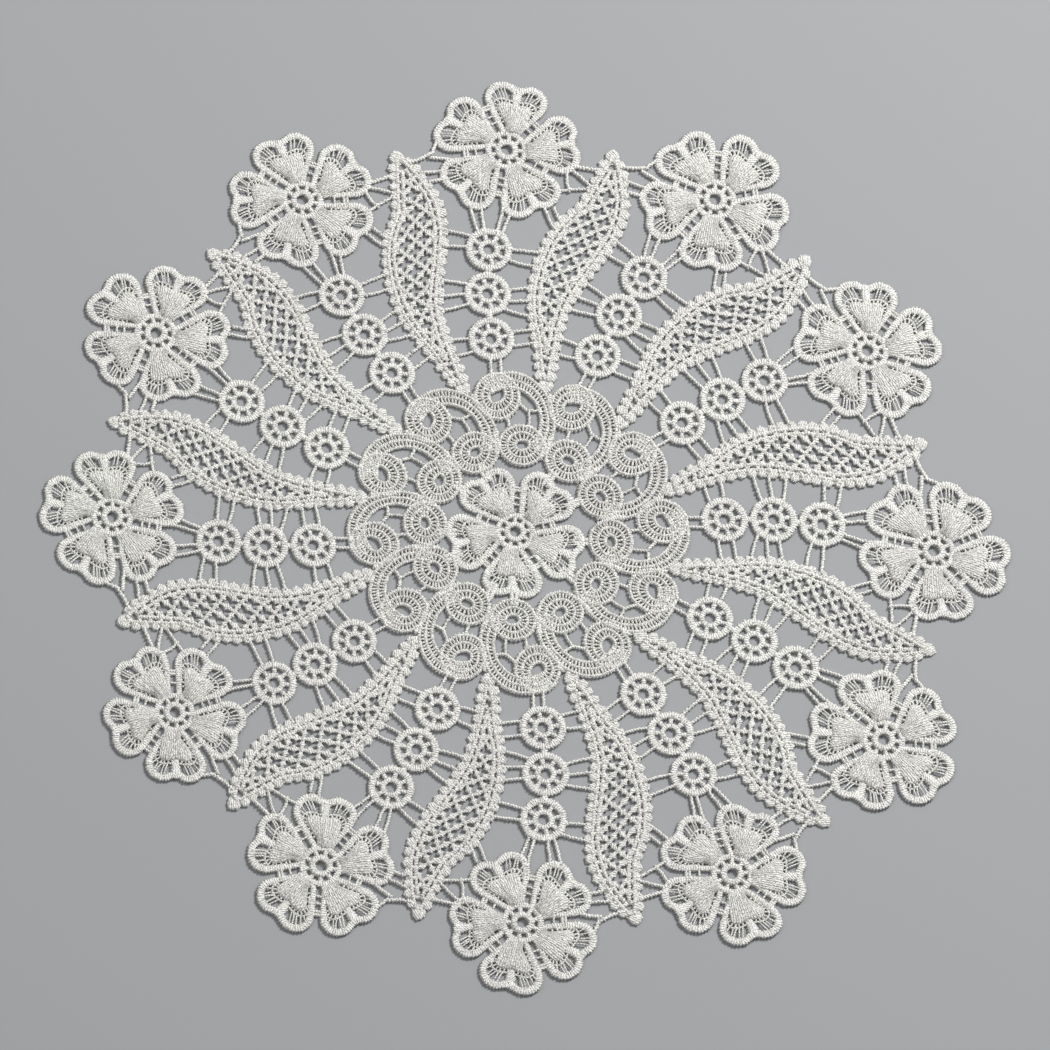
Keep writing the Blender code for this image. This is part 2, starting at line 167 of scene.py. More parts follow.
def spaced(path: Array, step: float, closed: bool = False, even: bool = True) -> Array:
    """Points at equal distances along a path.

    Args:
        path: flat points of the path
        step: wanted distance between points
        closed: whether the path runs back to its start
        even: whether the number of steps has to be even

    Returns:
        The new points. A closed path doesn't repeat its first point.
    """
    if closed:
        path = np.concatenate([path, path[:1]])
    along = np.concatenate([[0.0], np.cumsum(np.linalg.norm(np.diff(path, axis=0), axis=1))])
    count = max(2, round(along[-1] / step))
    count += count % 2 if even else 0
    places = np.linspace(0.0, along[-1], count + 1)
    points = np.stack([np.interp(places, along, path[:, axis]) for axis in (0, 1)], axis=1)
    return points[:-1] if closed else points


def between(starts: Array, ends: Array, shares: Array) -> Array:
    """Straight paths from starts to ends, each with a point at every share of the way."""
    shares = shares[None, :, None]
    return starts[:, None] * (1.0 - shares) + ends[:, None] * shares


def wheel(turns: Array, start: float, end: float, size: float = 1.0) -> Array:
    """Paths of straight spokes about the origin.

    Args:
        turns: direction of each spoke in degrees
        start: distance of their inner ends
        end: distance of their outer ends
        size: factor on both distances

    Returns:
        Array of (spokes, 4, 2).
    """
    out = np.linspace(start, end, 4) * size
    flat = np.stack([out, 0.0 * out], axis=1)
    return np.stack([turned(flat, turn) for turn in turns])


def headings(paths: Array, closed: bool = False) -> Array:
    """Unit tangents at every point of one path or of several."""
    tangents = (np.roll(paths, -1, axis=-2) - np.roll(paths, 1, axis=-2) if closed
                else np.gradient(paths, axis=-2))
    return tangents / np.linalg.norm(tangents, axis=-1, keepdims=True)


def leftward(directions: Array) -> Array:
    """Directions turned to the left by a right angle."""
    return np.stack([-directions[..., 1], directions[..., 0]], axis=-1)


def strips(paths: Array | list[Array], half_width: float, closed: bool = False) -> list[Array]:
    """Outlines of flat bands along paths, for the ground under them.

    Args:
        paths: flat points of their middles
        half_width: half a band's width
        closed: whether each path runs back to its start

    Returns:
        One outline for each path, or two that share their ends where it is closed.
    """
    outlines = []
    for path in paths:
        if closed:
            middle = len(path) // 2
            halves = [path[:middle + 1], np.concatenate([path[middle:], path[:1]])]
            outlines += strips(halves, half_width)
            continue
        left = leftward(headings(path)) * half_width
        outlines.append(np.concatenate([path - left, (path + left)[::-1]]))
    return outlines


class Block(NamedTuple):
    """Closed surfaces: corners, four-sided and three-sided faces and their UVs."""

    points: Array
    quads: Array
    quad_uvs: Array
    tris: Array
    tri_uvs: Array


NO_TRIS = (np.zeros((0, 3), int), np.zeros((0, 3, 2)))


def cells(grids: Array) -> Array:
    """The four corners of every cell between neighbouring rows and columns.

    Args:
        grids: (grids, rows, columns), with or without a further axis

    Returns:
        Array of (cells, 4), with the same further axis.
    """
    near, far = grids[:, :-1], grids[:, 1:]
    corners = np.stack([near[:, :, :-1], far[:, :, :-1], far[:, :, 1:], near[:, :, 1:]], axis=3)
    return corners.reshape(-1, *corners.shape[3:])


def fans(poles: Array, loops: Array) -> Array:
    """Three-sided faces from each pole to the sides of its closed loop of corners."""
    return np.stack([poles[:, None] + 0 * loops, loops, np.roll(loops, -1, axis=1)],
                    axis=-1).reshape(-1, 3)


def carried(
    paths: Array,
    half_width: float | Array,
    height: float | Array,
    base: float | Array = 0.0,
    closed: bool = False,
    profile: Array = DOMED,
    notch: float = 0.0,
    slant: float = 0.0,
    twist: bool = False,
) -> Block:
    """Cords: a profile carried along paths that all have as many points.

    A corner is the path's point plus its left-hand normal times the profile's
    across times the half width, at the base plus the profile's up times the
    height. The path strays slowly to either side. Every other ring is narrowed
    and lowered by about the notch, each a little differently, and with a twist
    the two edges take turns. The slant moves a ring's left edge ahead and its
    right edge back, so that the stitches lean. Open ends close in a pole.

    Args:
        paths: (cords, points, 2) or (points, 2)
        half_width: one value, or one for each point
        height: one value, or one for each point
        base: height of the underside, one value or one for each point
        closed: whether the paths run back to their start
        profile: closed cross-section, from the right edge over the top
        notch: share by which every other ring is narrower
        slant: how far an edge is moved along the path, in half widths
        twist: whether the left and right edges are notched in turns

    Returns:
        The cords as one block, with UVs in millimetres along and around.
    """
    paths = paths if paths.ndim == 3 else paths[None]
    cords, count, _ = paths.shape
    sides = len(profile)
    ahead = headings(paths, closed)
    left = leftward(ahead)
    width, rise, under = (np.broadcast_to(value, (cords, count))[..., None]
                          for value in (half_width, height, base))

    chance = np.random.default_rng(count)
    stray = chance.normal(0.0, SWAY, (cords, count))
    stray = sum(np.roll(stray, step, axis=1) for step in range(5)) / math.sqrt(5.0)
    paths = paths + left * stray[..., None]
    uneven = chance.uniform(0.3, 1.7, (cords, count))
    beat = (uneven * np.where(np.arange(count) % 2, -1.0, 1.0))[..., None]
    turn = np.sign(profile[:, 0])[None] if twist else 1.0
    reach = profile[:, 0] * (1.0 + notch * beat * turn)
    flat = (paths[:, :, None] + left[:, :, None] * (reach * width)[..., None]
            + ahead[:, :, None] * (slant * profile[:, 0] * width)[..., None])
    lift = under + profile[:, 1] * rise * (1.0 + 0.7 * notch * beat)
    points = np.concatenate([flat, lift[..., None]], axis=3).reshape(-1, 3)

    steps = np.linalg.norm(np.roll(paths, -1, axis=1) - paths, axis=2)
    along = np.concatenate([np.zeros((cords, 1)), np.cumsum(steps, axis=1)], axis=1)
    looped = np.concatenate([profile, profile[:1]])
    girth = np.concatenate([[0.0], np.cumsum(np.linalg.norm(np.diff(looped, axis=0), axis=1))])
    around = girth * float(np.mean(width))

    index = np.arange(cords * count * sides).reshape(cords, count, sides)
    rings, loop = np.arange(count + closed) % count, np.arange(sides + 1) % sides
    quads = cells(index[:, rings][:, :, loop])
    uvs = cells(np.stack(np.broadcast_arrays(along[:, :len(rings), None], around), axis=-1))
    if closed:
        return Block(points, quads, uvs, *NO_TRIS)

    overhang = 0.4 * width[:, [0, -1]] * np.array([[-1.0], [1.0]])
    tips = paths[:, [0, -1]] + ahead[:, [0, -1]] * overhang
    poles = np.concatenate([tips, (under + 0.4 * rise)[:, [0, -1]]], axis=2).reshape(-1, 3)
    pole = len(points) + 2 * np.arange(cords)
    tris = np.concatenate([fans(pole, index[:, 0]), fans(pole + 1, index[:, -1])[:, [0, 2, 1]]])
    return Block(np.concatenate([points, poles]), quads, uvs, tris, np.zeros((len(tris), 3, 2)))


def padded_sheet(tops: Array, uvs: Array) -> Block:
    """Pads: domed grids closed by a flat underside and upright edges.

    Args:
        tops: (pads, rows, columns, 3), rows times columns facing up
        uvs: (rows, columns, 2) in millimetres

    Returns:
        The pads as one block, with its faces outwards.
    """
    pads, rows, columns, _ = tops.shape
    layer = rows * columns
    points = np.concatenate([tops, tops * (1.0, 1.0, 0.0)], axis=1).reshape(-1, 3)
    index = np.arange(layer).reshape(rows, columns)
    top = cells(index[None])
    here = np.concatenate([index[0, :-1], index[:-1, -1], index[-1, :0:-1], index[:0:-1, 0]])
    there = np.roll(here, -1)
    parts = (top, top[:, ::-1] + layer,
             np.stack([here, there, layer + there, layer + here], axis=1))
    first = (np.arange(pads) * 2 * layer)[:, None, None]
    quads = np.concatenate([(first + part).reshape(-1, 4) for part in parts])
    flat = uvs.reshape(-1, 2)
    spots = np.concatenate([np.tile(flat[part % layer], (pads, 1, 1)) for part in parts])
    a, b, c, d = (points[quads[:, corner]] for corner in range(4))
    if float(np.sum(a * np.cross(b, c)) + np.sum(a * np.cross(c, d))) < 0.0:
        quads, spots = quads[:, ::-1], spots[:, ::-1]
    return Block(points, quads, spots, *NO_TRIS)


def knobs(centres: Array, radii: Array, height: float, turns: Array) -> Block:
    """Round knots: a dimpled dome turned about an upright axis.

    A corner's distance is the knot's radius times the profile's own distance, and
    every other side reaches a little less, so that a knot looks like a rosette.

    Args:
        centres: (knots, 2)
        radii: outer radius of each knot
        height: of the crest
        turns: one turn in degrees for each knot

    Returns:
        The knots as one block.
    """
    sides, profile = 12, np.array([(0.94, 0.0), (1.0, 0.5), (0.6, 1.0)])
    count = len(centres)
    angle = np.radians(turns)[:, None] + np.arange(sides) * 2 * np.pi / sides
    petal = 1.0 - 0.2 * (np.arange(sides) % 2)
    spread = radii[:, None, None] * profile[:, 0][None, :, None] * petal
    x = centres[:, 0, None, None] + spread * np.cos(angle)[:, None]
    y = centres[:, 1, None, None] + spread * np.sin(angle)[:, None]
    z = np.broadcast_to(height * profile[:, 1][None, :, None], x.shape)
    body = np.stack([x, y, z], axis=-1).reshape(-1, 3)
    points = np.concatenate([body] + [np.column_stack([centres, np.full(count, level)])
                                      for level in (0.0, 0.5 * height)])
    index = np.arange(len(body)).reshape(count, -1, sides)
    quads = cells(index[:, :, np.arange(sides + 1) % sides])[:, [0, 3, 2, 1]]
    low = len(body) + np.arange(count)
    tris = np.concatenate([fans(low, index[:, 0])[:, [0, 2, 1]], fans(low + count, index[:, -1])])
    flat = points[:, :2]
    return Block(points, quads, flat[quads], tris, flat[tris])


def bands(rounds: tuple, centres: tuple, sides: int, step: float, size: float = 1.0,
          **how) -> list[Block]:
    """Stitched round bands.

    Args:
        rounds: radius, half width and height of each band
        centres: where each of them is repeated
        sides: sides of the circle that their points are spaced on
        step: distance between the points
        size: factor on radius and half width
        how: further arguments of carried

    Returns:
        One block for each band.
    """
    return [carried(spaced(ring((0.0, 0.0), radius * size, sides), step, True)
                    + np.array(centres)[:, None], half * size, height, closed=True,
                    profile=BANDED, **how) for radius, half, height in rounds]


def band_plans(rounds: tuple, centres: tuple, sides: int, inset: float,
               size: float = 1.0) -> list[Array]:
    """Outlines of the ground under round bands, narrower than them by an inset."""
    return [outline for centre in centres for radius, half, _ in rounds for outline in
            strips([ring(centre, radius * size, sides)], (half - inset) * size, True)]


def joined(blocks: list[Block]) -> Block:
    """Several blocks as one, their corners and faces in the blocks' order."""
    firsts = np.concatenate([[0], np.cumsum([len(block.points) for block in blocks])[:-1]])
    return Block(
        np.concatenate([block.points for block in blocks]),
        np.concatenate([block.quads + first for block, first in zip(blocks, firsts)]),
        np.concatenate([block.quad_uvs for block in blocks]),
        np.concatenate([block.tris + first for block, first in zip(blocks, firsts)]),
        np.concatenate([block.tri_uvs for block in blocks]))


def in_groups(paths: list[Array], half_widths: list[float], height: float, **how) -> list[Block]:
    """Cords of different lengths, carried together where they have as many points.

    Args:
        paths: one array of flat points for each cord
        half_widths: one for each cord
        height: of all of them
        how: further arguments of carried

    Returns:
        One block for each number of points.
    """
    blocks = []
    for count in sorted({len(path) for path in paths}):
        chosen = [index for index, path in enumerate(paths) if len(path) == count]
        width = np.array([half_widths[index] for index in chosen])[:, None]
        blocks.append(carried(np.stack([paths[index] for index in chosen]), width, height, **how))
    return blocks


def lie(points: Array) -> Array:
    """Shift flat points as the mat lies.

    A point's shift is the blend of the two nearest flowers' shifts, by half a
    cosine of its place between them, times the square of its distance over
    the flower circle.
    """
    radius = np.linalg.norm(points, axis=1)
    clockwise = np.pi / 2 - np.arctan2(points[:, 1], points[:, 0])
    place = np.mod(clockwise * REPEATS / (2 * np.pi), REPEATS)
    first = np.floor(place).astype(int) % REPEATS
    blend = ((1.0 - np.cos(np.pi * (place - np.floor(place)))) / 2)[:, None]
    table = np.array(LIES)
    shift = table[first] * (1.0 - blend) + table[(first + 1) % REPEATS] * blend
    shift = shift * (radius / FLOWER_CIRCLE)[:, None] ** 2
    outwards = np.stack([np.sin(clockwise), np.cos(clockwise)], axis=1)
    sideways = np.stack([np.cos(clockwise), -np.sin(clockwise)], axis=1)
    return points + outwards * shift[:, :1] + sideways * shift[:, 1:]


def laid(block: Block, repeats: int = 1, fuzz: float = FUZZ) -> Block:
    """A block repeated clockwise about the mat's centre and laid as the mat lies.

    Args:
        block: in the drawing's millimetres
        repeats: how many sectors it fills
        fuzz: spread of the small unevenness that each corner gets

    Returns:
        The block in metres in the mat's own frame.
    """
    points = np.concatenate([
        np.column_stack([turned(block.points[:, :2], -360.0 / REPEATS * number),
                         block.points[:, 2]]) for number in range(repeats)])
    points[:, :2] = lie(points[:, :2]) - MAT_MIDDLE
    uneven = np.random.default_rng(len(points)).normal(0.0, fuzz, points.shape)
    points += uneven * (points[:, 2:] > 0.05)
    firsts = (np.arange(repeats) * len(block.points))[:, None, None]
    return Block(points * MM,
                 (block.quads[None] + firsts).reshape(-1, 4),
                 np.tile(block.quad_uvs, (repeats, 1, 1)),
                 (block.tris[None] + firsts).reshape(-1, 3),
                 np.tile(block.tri_uvs, (repeats, 1, 1)))


def piece_of(name: str, blocks: list[Block], material: bpy.types.Material) -> bpy.types.Object:
    """One piece of the mat from laid blocks.

    Args:
        name: the piece's name
        blocks: in metres in the mat's own frame
        material: its thread

    Returns:
        The object, which rides on the mat and stands for its solid.
    """
    block = joined(blocks)
    corners = np.concatenate([block.quads.ravel(), block.tris.ravel()])
    totals = np.concatenate([np.full(len(block.quads), 4), np.full(len(block.tris), 3)])
    starts = np.concatenate([[0], np.cumsum(totals)[:-1]])
    mesh = bpy.data.meshes.new(name)
    mesh.vertices.add(len(block.points))
    mesh.vertices.foreach_set("co", block.points.astype(np.float32).ravel())
    mesh.loops.add(len(corners))
    mesh.loops.foreach_set("vertex_index", corners.astype(np.int32))
    mesh.polygons.add(len(totals))
    mesh.polygons.foreach_set("loop_start", starts.astype(np.int32))
    mesh.update(calc_edges=True)
    mesh.polygons.foreach_set("use_smooth", np.ones(len(totals), dtype=bool))
    uvs = np.concatenate([block.quad_uvs.reshape(-1, 2), block.tri_uvs.reshape(-1, 2)])
    mesh.uv_layers.new(name="stitch").data.foreach_set("uv", uvs.astype(np.float32).ravel())
    mesh.materials.append(material)
    mesh.validate()

    piece = bpy.data.objects.new(name, mesh)
    bpy.context.scene.collection.objects.link(piece)
    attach(piece, "root")
    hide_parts("lace")
    log.info("%s: %d triangles", name, int((totals - 2).sum()))
    return piece


@dataclass(frozen=True)
class Flower:
    """A flower of five padded petals round a wound ring.

    A petal's outline is a straight side from its base, a round lobe, a small
    round notch, and the same mirrored. Its rim is a stitched band, its fan a
    satin pad, and its two lobes are open but for loose strands.
    """

    centre: tuple[float, float]
    first_petal: float
    size: float = 1.0
    petals: int = 5
    base: float = 7.0
    base_half: float = 3.7
    lobe_distance: float = 22.0
    lobe_angle: float = 14.0
    lobe_radius: float = 7.3
    notch_radius: float = 5.0
    rim_side_half: float = 1.2
    rim_lobe_half: float = 1.65
    rim_height: float = 1.25
    rim_step: float = 0.54
    pad_from: float = 7.3
    pad_reach: float = 19.3
    pad_base_half: float = 4.5
    pad_flare: float = 0.25
    pad_least: float = 2.2
    slit: float = 1.15
    pad_height: float = 2.35
    pad_edge: float = 1.15
    pad_grid: tuple[int, int] = (17, 21)
    crease_depth: float = 0.45
    brow_gap: float = 1.25
    brow_from: float = 0.42
    brow_step: float = 0.8
    brow_half: float = 0.45
    brow_height: float = 1.25
    rung_from: float = 0.34
    rung_pitch: float = 1.9
    rung_half: float = 0.42
    ring_radius: float = 3.3
    ring_half: float = 1.3
    ring_height: float = 1.8
    heart_radius: float = 7.2
    heart_half: float = 1.3
    heart_height: float = 1.35
    spokes: int = 9
    spoke_half: float = 0.9
    spoke_height: float = 1.3
    bridge_end: float = 26.0
    bridge_halves: tuple[float, float] = (1.3, 2.8)
    web_height: float = 1.2
    tie_half: float = 0.5
    tie_height: float = 1.15
    strand_half: float = 0.34
    strand_height: float = 1.0
    strand_bow: float = 0.4
    strand_feet: tuple[float, ...] = (0.36, 0.50, 0.62, 0.78, 0.90)
    strand_angles: tuple[float, ...] = (4.0, 18.0, 40.0, 56.0, 84.0)
    strand_sways: tuple[float, ...] = (0.3, 0.5, -0.5, 0.4, 0.2)
    tie_places: tuple[float, ...] = (14.0, 15.7, 17.4)
    web_reaches: tuple[float, ...] = (20.4, 17.4, 20.2, 18.4, 17.4)

    def lobe(self) -> Array:
        """Centre of the upper lobe of a petal whose axis is +X."""
        angle = math.radians(self.lobe_angle)
        return np.array([math.cos(angle), math.sin(angle)]) * self.lobe_distance

    def slope(self) -> float:
        """Slope of a petal's straight side against its axis."""
        reach = self.lobe() - (self.base, self.base_half)
        return (math.atan2(reach[1], reach[0])
                + math.asin(self.lobe_radius / np.linalg.norm(reach)))

    def petal_rim(self, inset: float) -> Array:
        """Path round a petal, inside its outline by the inset, from base to base."""
        lobe, slope = self.lobe(), self.slope()
        start = np.array([self.base + 0.4, self.half_at(self.base + 0.4, inset)])
        notch_x = lobe[0] + math.sqrt((self.lobe_radius + self.notch_radius) ** 2 - lobe[1] ** 2)
        meet = math.degrees(math.atan2(lobe[1], notch_x - lobe[0]))
        upper = arc(tuple(lobe), self.lobe_radius - inset, math.degrees(slope) + 90.0, -meet, 24)
        notch = arc((notch_x, 0.0), self.notch_radius + inset, 180.0 - meet, 180.0 + meet, 10)
        lower = upper[::-1] * (1.0, -1.0)
        return np.concatenate([[start], upper, notch[1:-1], lower, [start * (1.0, -1.0)]])

    def half_at(self, x: float | Array, inset: float | Array) -> float | Array:
        """Half the petal's width between its straight sides, less an inset."""
        slope = self.slope()
        return (self.base_half + (x - self.base) * math.tan(slope) - inset / math.cos(slope))

    def pad_points(self, across: Array, out: Array, grow: float = 0.0) -> Array:
        """Flat points of the pad from its two parameters.

        Args:
            across: from -1 to 1 between the pad's sides
            out: from 0 at its base to 1 at its outer edge
            grow: how much wider and longer than the pad the points lie

        Returns:
            Points whose distance runs from pad_from to an outer edge with two low
            bumps and round corners, and whose offset is across times the half
            width there.
        """
        bump = 0.8 * np.sin(np.pi * np.abs(across) / 1.2)
        limit = self.pad_reach + grow + bump - 2.4 * np.abs(across) ** 6
        x = self.pad_from + out * (limit - self.pad_from)
        return np.stack([x, across * (self.pad_half(x, across) + grow)], axis=-1)

    def pad_half(self, x: Array, side: float | Array) -> Array:
        """Half the pad's width at a distance, on one of its two sides.

        Args:
            x: distance from the flower's centre
            side: positive for the upper side, where a slit parts pad and rim

        Returns:
            A width that flares outwards, and on the upper side is at most the
            distance to the rim's inner edge less the slit.
        """
        flared = self.pad_base_half + self.pad_flare * (x - self.pad_from)
        clear = self.half_at(x, 2.0 * self.rim_side_half) - self.slit
        return np.where(np.asarray(side) > 0.0,
                        np.minimum(flared, np.maximum(clear, self.pad_least)), flared)

    def pad_outline(self, grow: float, first: float) -> Array:
        """The pad's outline from its lower side over its outer edge to the upper one.

        Args:
            grow: distance outside the pad
            first: from where on its sides it runs, from 0 to 1
        """
        out = np.linspace(first, 1.0, 12)
        lower, upper = (self.pad_points(np.full(12, side), out, grow) for side in (-1.0, 1.0))
        brow = self.pad_points(np.linspace(-1.0, 1.0, 41), np.ones(41), grow)
        return np.concatenate([lower[:-1], brow, upper[::-1][1:]])

    def pads(self) -> Block:
        """The satin pads of the five petals, filled with rows of stitches along them."""
        rows, columns = self.pad_grid
        out, across = np.meshgrid(np.linspace(0.0, 1.0, rows), np.linspace(-1.0, 1.0, columns),
                                  indexing="ij")
        flat = self.pad_points(across, out)
        dome = np.clip((1.0 - across ** 2) * (1.0 - (2.0 * out - 1.0) ** 4), 0.0, 1.0) ** 0.9
        height = self.pad_edge + (self.pad_height - self.pad_edge) * dome
        grain = np.stack([across * (self.pad_base_half + 2.2), flat[..., 0]], axis=-1)
        tops = self.five(np.dstack([flat, height]))
        tops[..., 2] -= self.creases(across, out)
        return padded_sheet(tops, grain)

    def creases(self, across: Array, out: Array) -> Array:
        """How deep the satin sinks where its rows meet along each petal.

        Args:
            across: from -1 to 1 between the pad's sides
            out: from 0 at its base to 1 at its outer edge

        Returns:
            A depth for each petal and point: two bell-shaped creases at slightly
            different places in every petal, which fade towards both ends.
        """
        draw = np.random.default_rng(round(self.first_petal) + 17)
        fade = np.sin(np.pi * np.clip(out, 0.0, 1.0))
        petals = []
        for _ in range(self.petals):
            places = np.array([-0.36, 0.34]) + draw.normal(0.0, 0.09, 2)
            depths = draw.uniform(self.crease_depth * 0.3, self.crease_depth, 2)
            petals.append(fade * sum(depth * np.exp(-((across - place) / 0.1) ** 2)
                                     for place, depth in zip(places, depths)))
        return np.stack(petals)

    def five(self, grid: Array) -> Array:
        """Copies of a petal's points for the five petals, each petal on a first axis."""
        placed = np.stack([self.placed(grid[..., :2], number) for number in range(self.petals)])
        lift = np.broadcast_to(grid[..., 2:], placed.shape[:-1] + (grid.shape[-1] - 2,))
        return np.concatenate([placed, lift], axis=-1)

    def placed(self, flat: Array, number: float) -> Array:
        """Flat points turned to a petal, or to between two of them, and set in the drawing."""
        turn = self.first_petal + 360.0 / self.petals * number
        return turned(flat, turn) * self.size + np.array(self.centre)

    def rim_path(self, step: float) -> tuple[Array, Array]:
        """Middle line of a petal's rim, whose outer edge is the petal's outline.

        Args:
            step: distance between its points

        Returns:
            The points, and the half width at each: slim beside the pad and fuller
            round the lobes.
        """
        rim = spaced(self.petal_rim(self.rim_lobe_half), step)
        ease = np.clip((rim[:, 0] - 14.0) / 6.0, 0.0, 1.0)
        halves = (self.rim_side_half + (self.rim_lobe_half - self.rim_side_half)
                  * ease * ease * (3.0 - 2.0 * ease))
        return rim + leftward(headings(rim)) * (self.rim_lobe_half - halves)[:, None], halves

    def rounds(self) -> tuple[tuple[float, float, float], ...]:
        """Radius, half width and height of the heart's two rings."""
        return ((self.ring_radius, self.ring_half, self.ring_height),
                (self.heart_radius, self.heart_half, self.heart_height))

    def rims(self) -> list[Block]:
        """The stitched bands round the petals, and the wound rings of the heart."""
        look = {"notch": 0.12, "slant": 0.2}
        rim, halves = self.rim_path(self.rim_step)
        return [carried(self.five(rim), halves, self.rim_height, profile=BANDED, **look),
                *bands(self.rounds(), (self.centre,), 60, self.rim_step, self.size, **look)]

    def spoke_paths(self) -> Array:
        """Paths of the spokes between the two rings of the heart."""
        angles = self.first_petal + 360.0 / self.spokes * np.arange(self.spokes)
        return (wheel(angles, self.ring_radius + 0.4, self.heart_radius - 0.3, self.size)
                + np.array(self.centre))

    def threads(self) -> list[Block]:
        """The fine threads: spokes, cord round the pad, loose strands and ties."""
        brow = spaced(self.pad_outline(self.brow_gap, self.brow_from), self.brow_step)
        blocks = [carried(self.spoke_paths(), self.spoke_half * self.size, self.spoke_height,
                          notch=0.12),
                  carried(self.five(brow), self.brow_half, self.brow_height, profile=SLIM,
                          notch=0.15)]

        outside = spaced(self.pad_outline(self.brow_gap, self.rung_from), self.rung_pitch)
        inside = spaced(self.pad_outline(-0.5, self.rung_from), 0.2)
        near = np.linalg.norm(outside[:, None] - inside[None], axis=2).argmin(axis=1)
        blocks.append(self.strands(inside[near], outside, self.rung_half, self.tie_height, 3))

        bridge = spaced(np.array([(self.pad_reach - 0.6, 0.0), (self.bridge_end, 0.0)]), 0.6)
        blocks.append(carried(self.five(bridge), np.linspace(*self.bridge_halves, len(bridge)),
                              self.web_height, notch=0.12))

        angles = np.radians(self.strand_angles)
        foot = self.pad_points(np.array(self.strand_feet), np.ones(5), self.brow_gap)
        head = self.lobe() + (self.lobe_radius - self.rim_lobe_half) * np.stack(
            [np.cos(angles), np.sin(angles)], axis=1)
        sway = np.array(self.strand_sways)[:, None] * (0.0, 1.0)
        for side in MIRRORS:
            blocks.append(self.strands(foot * (1.0, side), (head + sway * side) * (1.0, side),
                                       self.strand_half, self.strand_height, 4,
                                       bow=self.strand_bow))

        places = np.array(self.tie_places)
        for side in MIRRORS:
            brow_side = self.pad_half(places, side) + self.brow_gap
            start = np.stack([places, brow_side * side], axis=1)
            end = np.stack([places + 0.3, self.half_at(places, 1.2) * side], axis=1)
            blocks.append(self.strands(start, end, self.tie_half, self.tie_height, 3))
        return blocks + self.webs()

    def strands(self, starts: Array, ends: Array, half: float, height: float, rings: int,
                bow: float = 0.0) -> Block:
        """Straight or bowed strands in each petal.

        Args:
            starts: (strands, 2) in a petal's own frame
            ends: (strands, 2)
            half: half their width
            height: of their crest
            rings: number of rings of each
            bow: how high their middle stands over their ends

        Returns:
            One block for the whole flower.
        """
        shares = np.linspace(0.0, 1.0, rings)
        copies = self.five(between(starts, ends, shares)).reshape(-1, rings, 2)
        lift = bow * np.sin(np.pi * shares)
        return carried(copies, half, height - 0.3, 0.3 + lift, profile=SLIM)

    def webs(self) -> list[Block]:
        """Ties between neighbouring petals: two at each outer end, thin ones inside."""
        blocks = []
        for number, reach in enumerate(self.web_reaches):
            inner = np.linspace(9.3, reach - 2.4, 3 if reach < 19.0 else 4)[1:-1]
            for place, half, span in ((reach - 0.7, 0.6, 2.3), (reach - 2.0, 0.6, 2.2),
                                      *((place, 0.45, 1.3) for place in inner)):
                flat = np.stack([np.full(5, place), np.linspace(-span, span, 5)], axis=1)
                blocks.append(carried(self.placed(flat, number + 0.5), half, self.web_height,
                                      notch=0.1))
        return blocks

    def plan(self) -> list[Array]:
        """Outlines of the ground under the flower."""
        rim, _ = self.rim_path(2.6)
        outlines = strips(self.five(rim), (self.rim_side_half - 0.05) * self.size)
        outlines += list(self.five(self.pad_outline(-0.2, 0.0)[::2]))
        outlines += band_plans(self.rounds(), (self.centre,), 20, 0.2, self.size)
        outlines += strips(self.spoke_paths(), self.spoke_half * self.size)
        webs = [self.placed(np.array([(reach - 1.3, -1.6), (reach - 1.3, 1.6)]), number + 0.5)
                for number, reach in enumerate(self.web_reaches)]
        return outlines + strips(webs, 1.0)


@dataclass(frozen=True)
class DiscChain:
    """Three round discs, each a wound ring, eight spokes and an outer band."""

    centres: tuple[tuple[float, float], ...] = ((-8.3, 80.3), (-9.2, 99.2), (-8.2, 117.8))
    band_radius: float = 7.65
    band_half: float = 1.55
    band_height: float = 1.4
    ring_radius: float = 3.1
    ring_half: float = 1.2
    ring_height: float = 1.35
    spokes: int = 8
    first_spoke: float = 12.5
    spoke_half: float = 1.0
    spoke_height: float = 1.15
    step: float = 0.6
    join_half: float = 1.5
    ground_inset: float = 0.2

    def rounds(self) -> tuple[tuple[float, float, float], ...]:
        """Radius, half width and height of the outer band and of the wound ring."""
        return ((self.band_radius, self.band_half, self.band_height),
                (self.ring_radius, self.ring_half, self.ring_height))

    def spoke_paths(self) -> Array:
        """Paths of the spokes of all three discs."""
        turns = self.first_spoke + 360.0 / self.spokes * np.arange(self.spokes)
        spokes = wheel(turns, self.ring_radius + 0.5, self.band_radius - 0.8)
        return np.concatenate([spokes + centre for centre in np.array(self.centres)])

    def join_paths(self) -> Array:
        """Short paths from each disc's band to the next one's."""
        centres = np.array(self.centres)
        return between(centres[:-1], centres[1:], np.linspace(0.42, 0.58, 6))

    def stitched(self) -> list[Block]:
        """Every stitched shape of the chain."""
        return [*bands(self.rounds(), self.centres, 72, self.step, notch=0.15, slant=0.2),
                carried(self.spoke_paths(), self.spoke_half, self.spoke_height, notch=0.15),
                carried(self.join_paths(), self.join_half, self.band_height, notch=0.15)]

    def plan(self) -> list[Array]:
        """Outlines of the ground under the chain."""
        return [*band_plans(self.rounds(), self.centres, 24, self.ground_inset),
                *strips(self.spoke_paths(), self.spoke_half - self.ground_inset),
                *strips(self.join_paths(), self.join_half - self.ground_inset)]


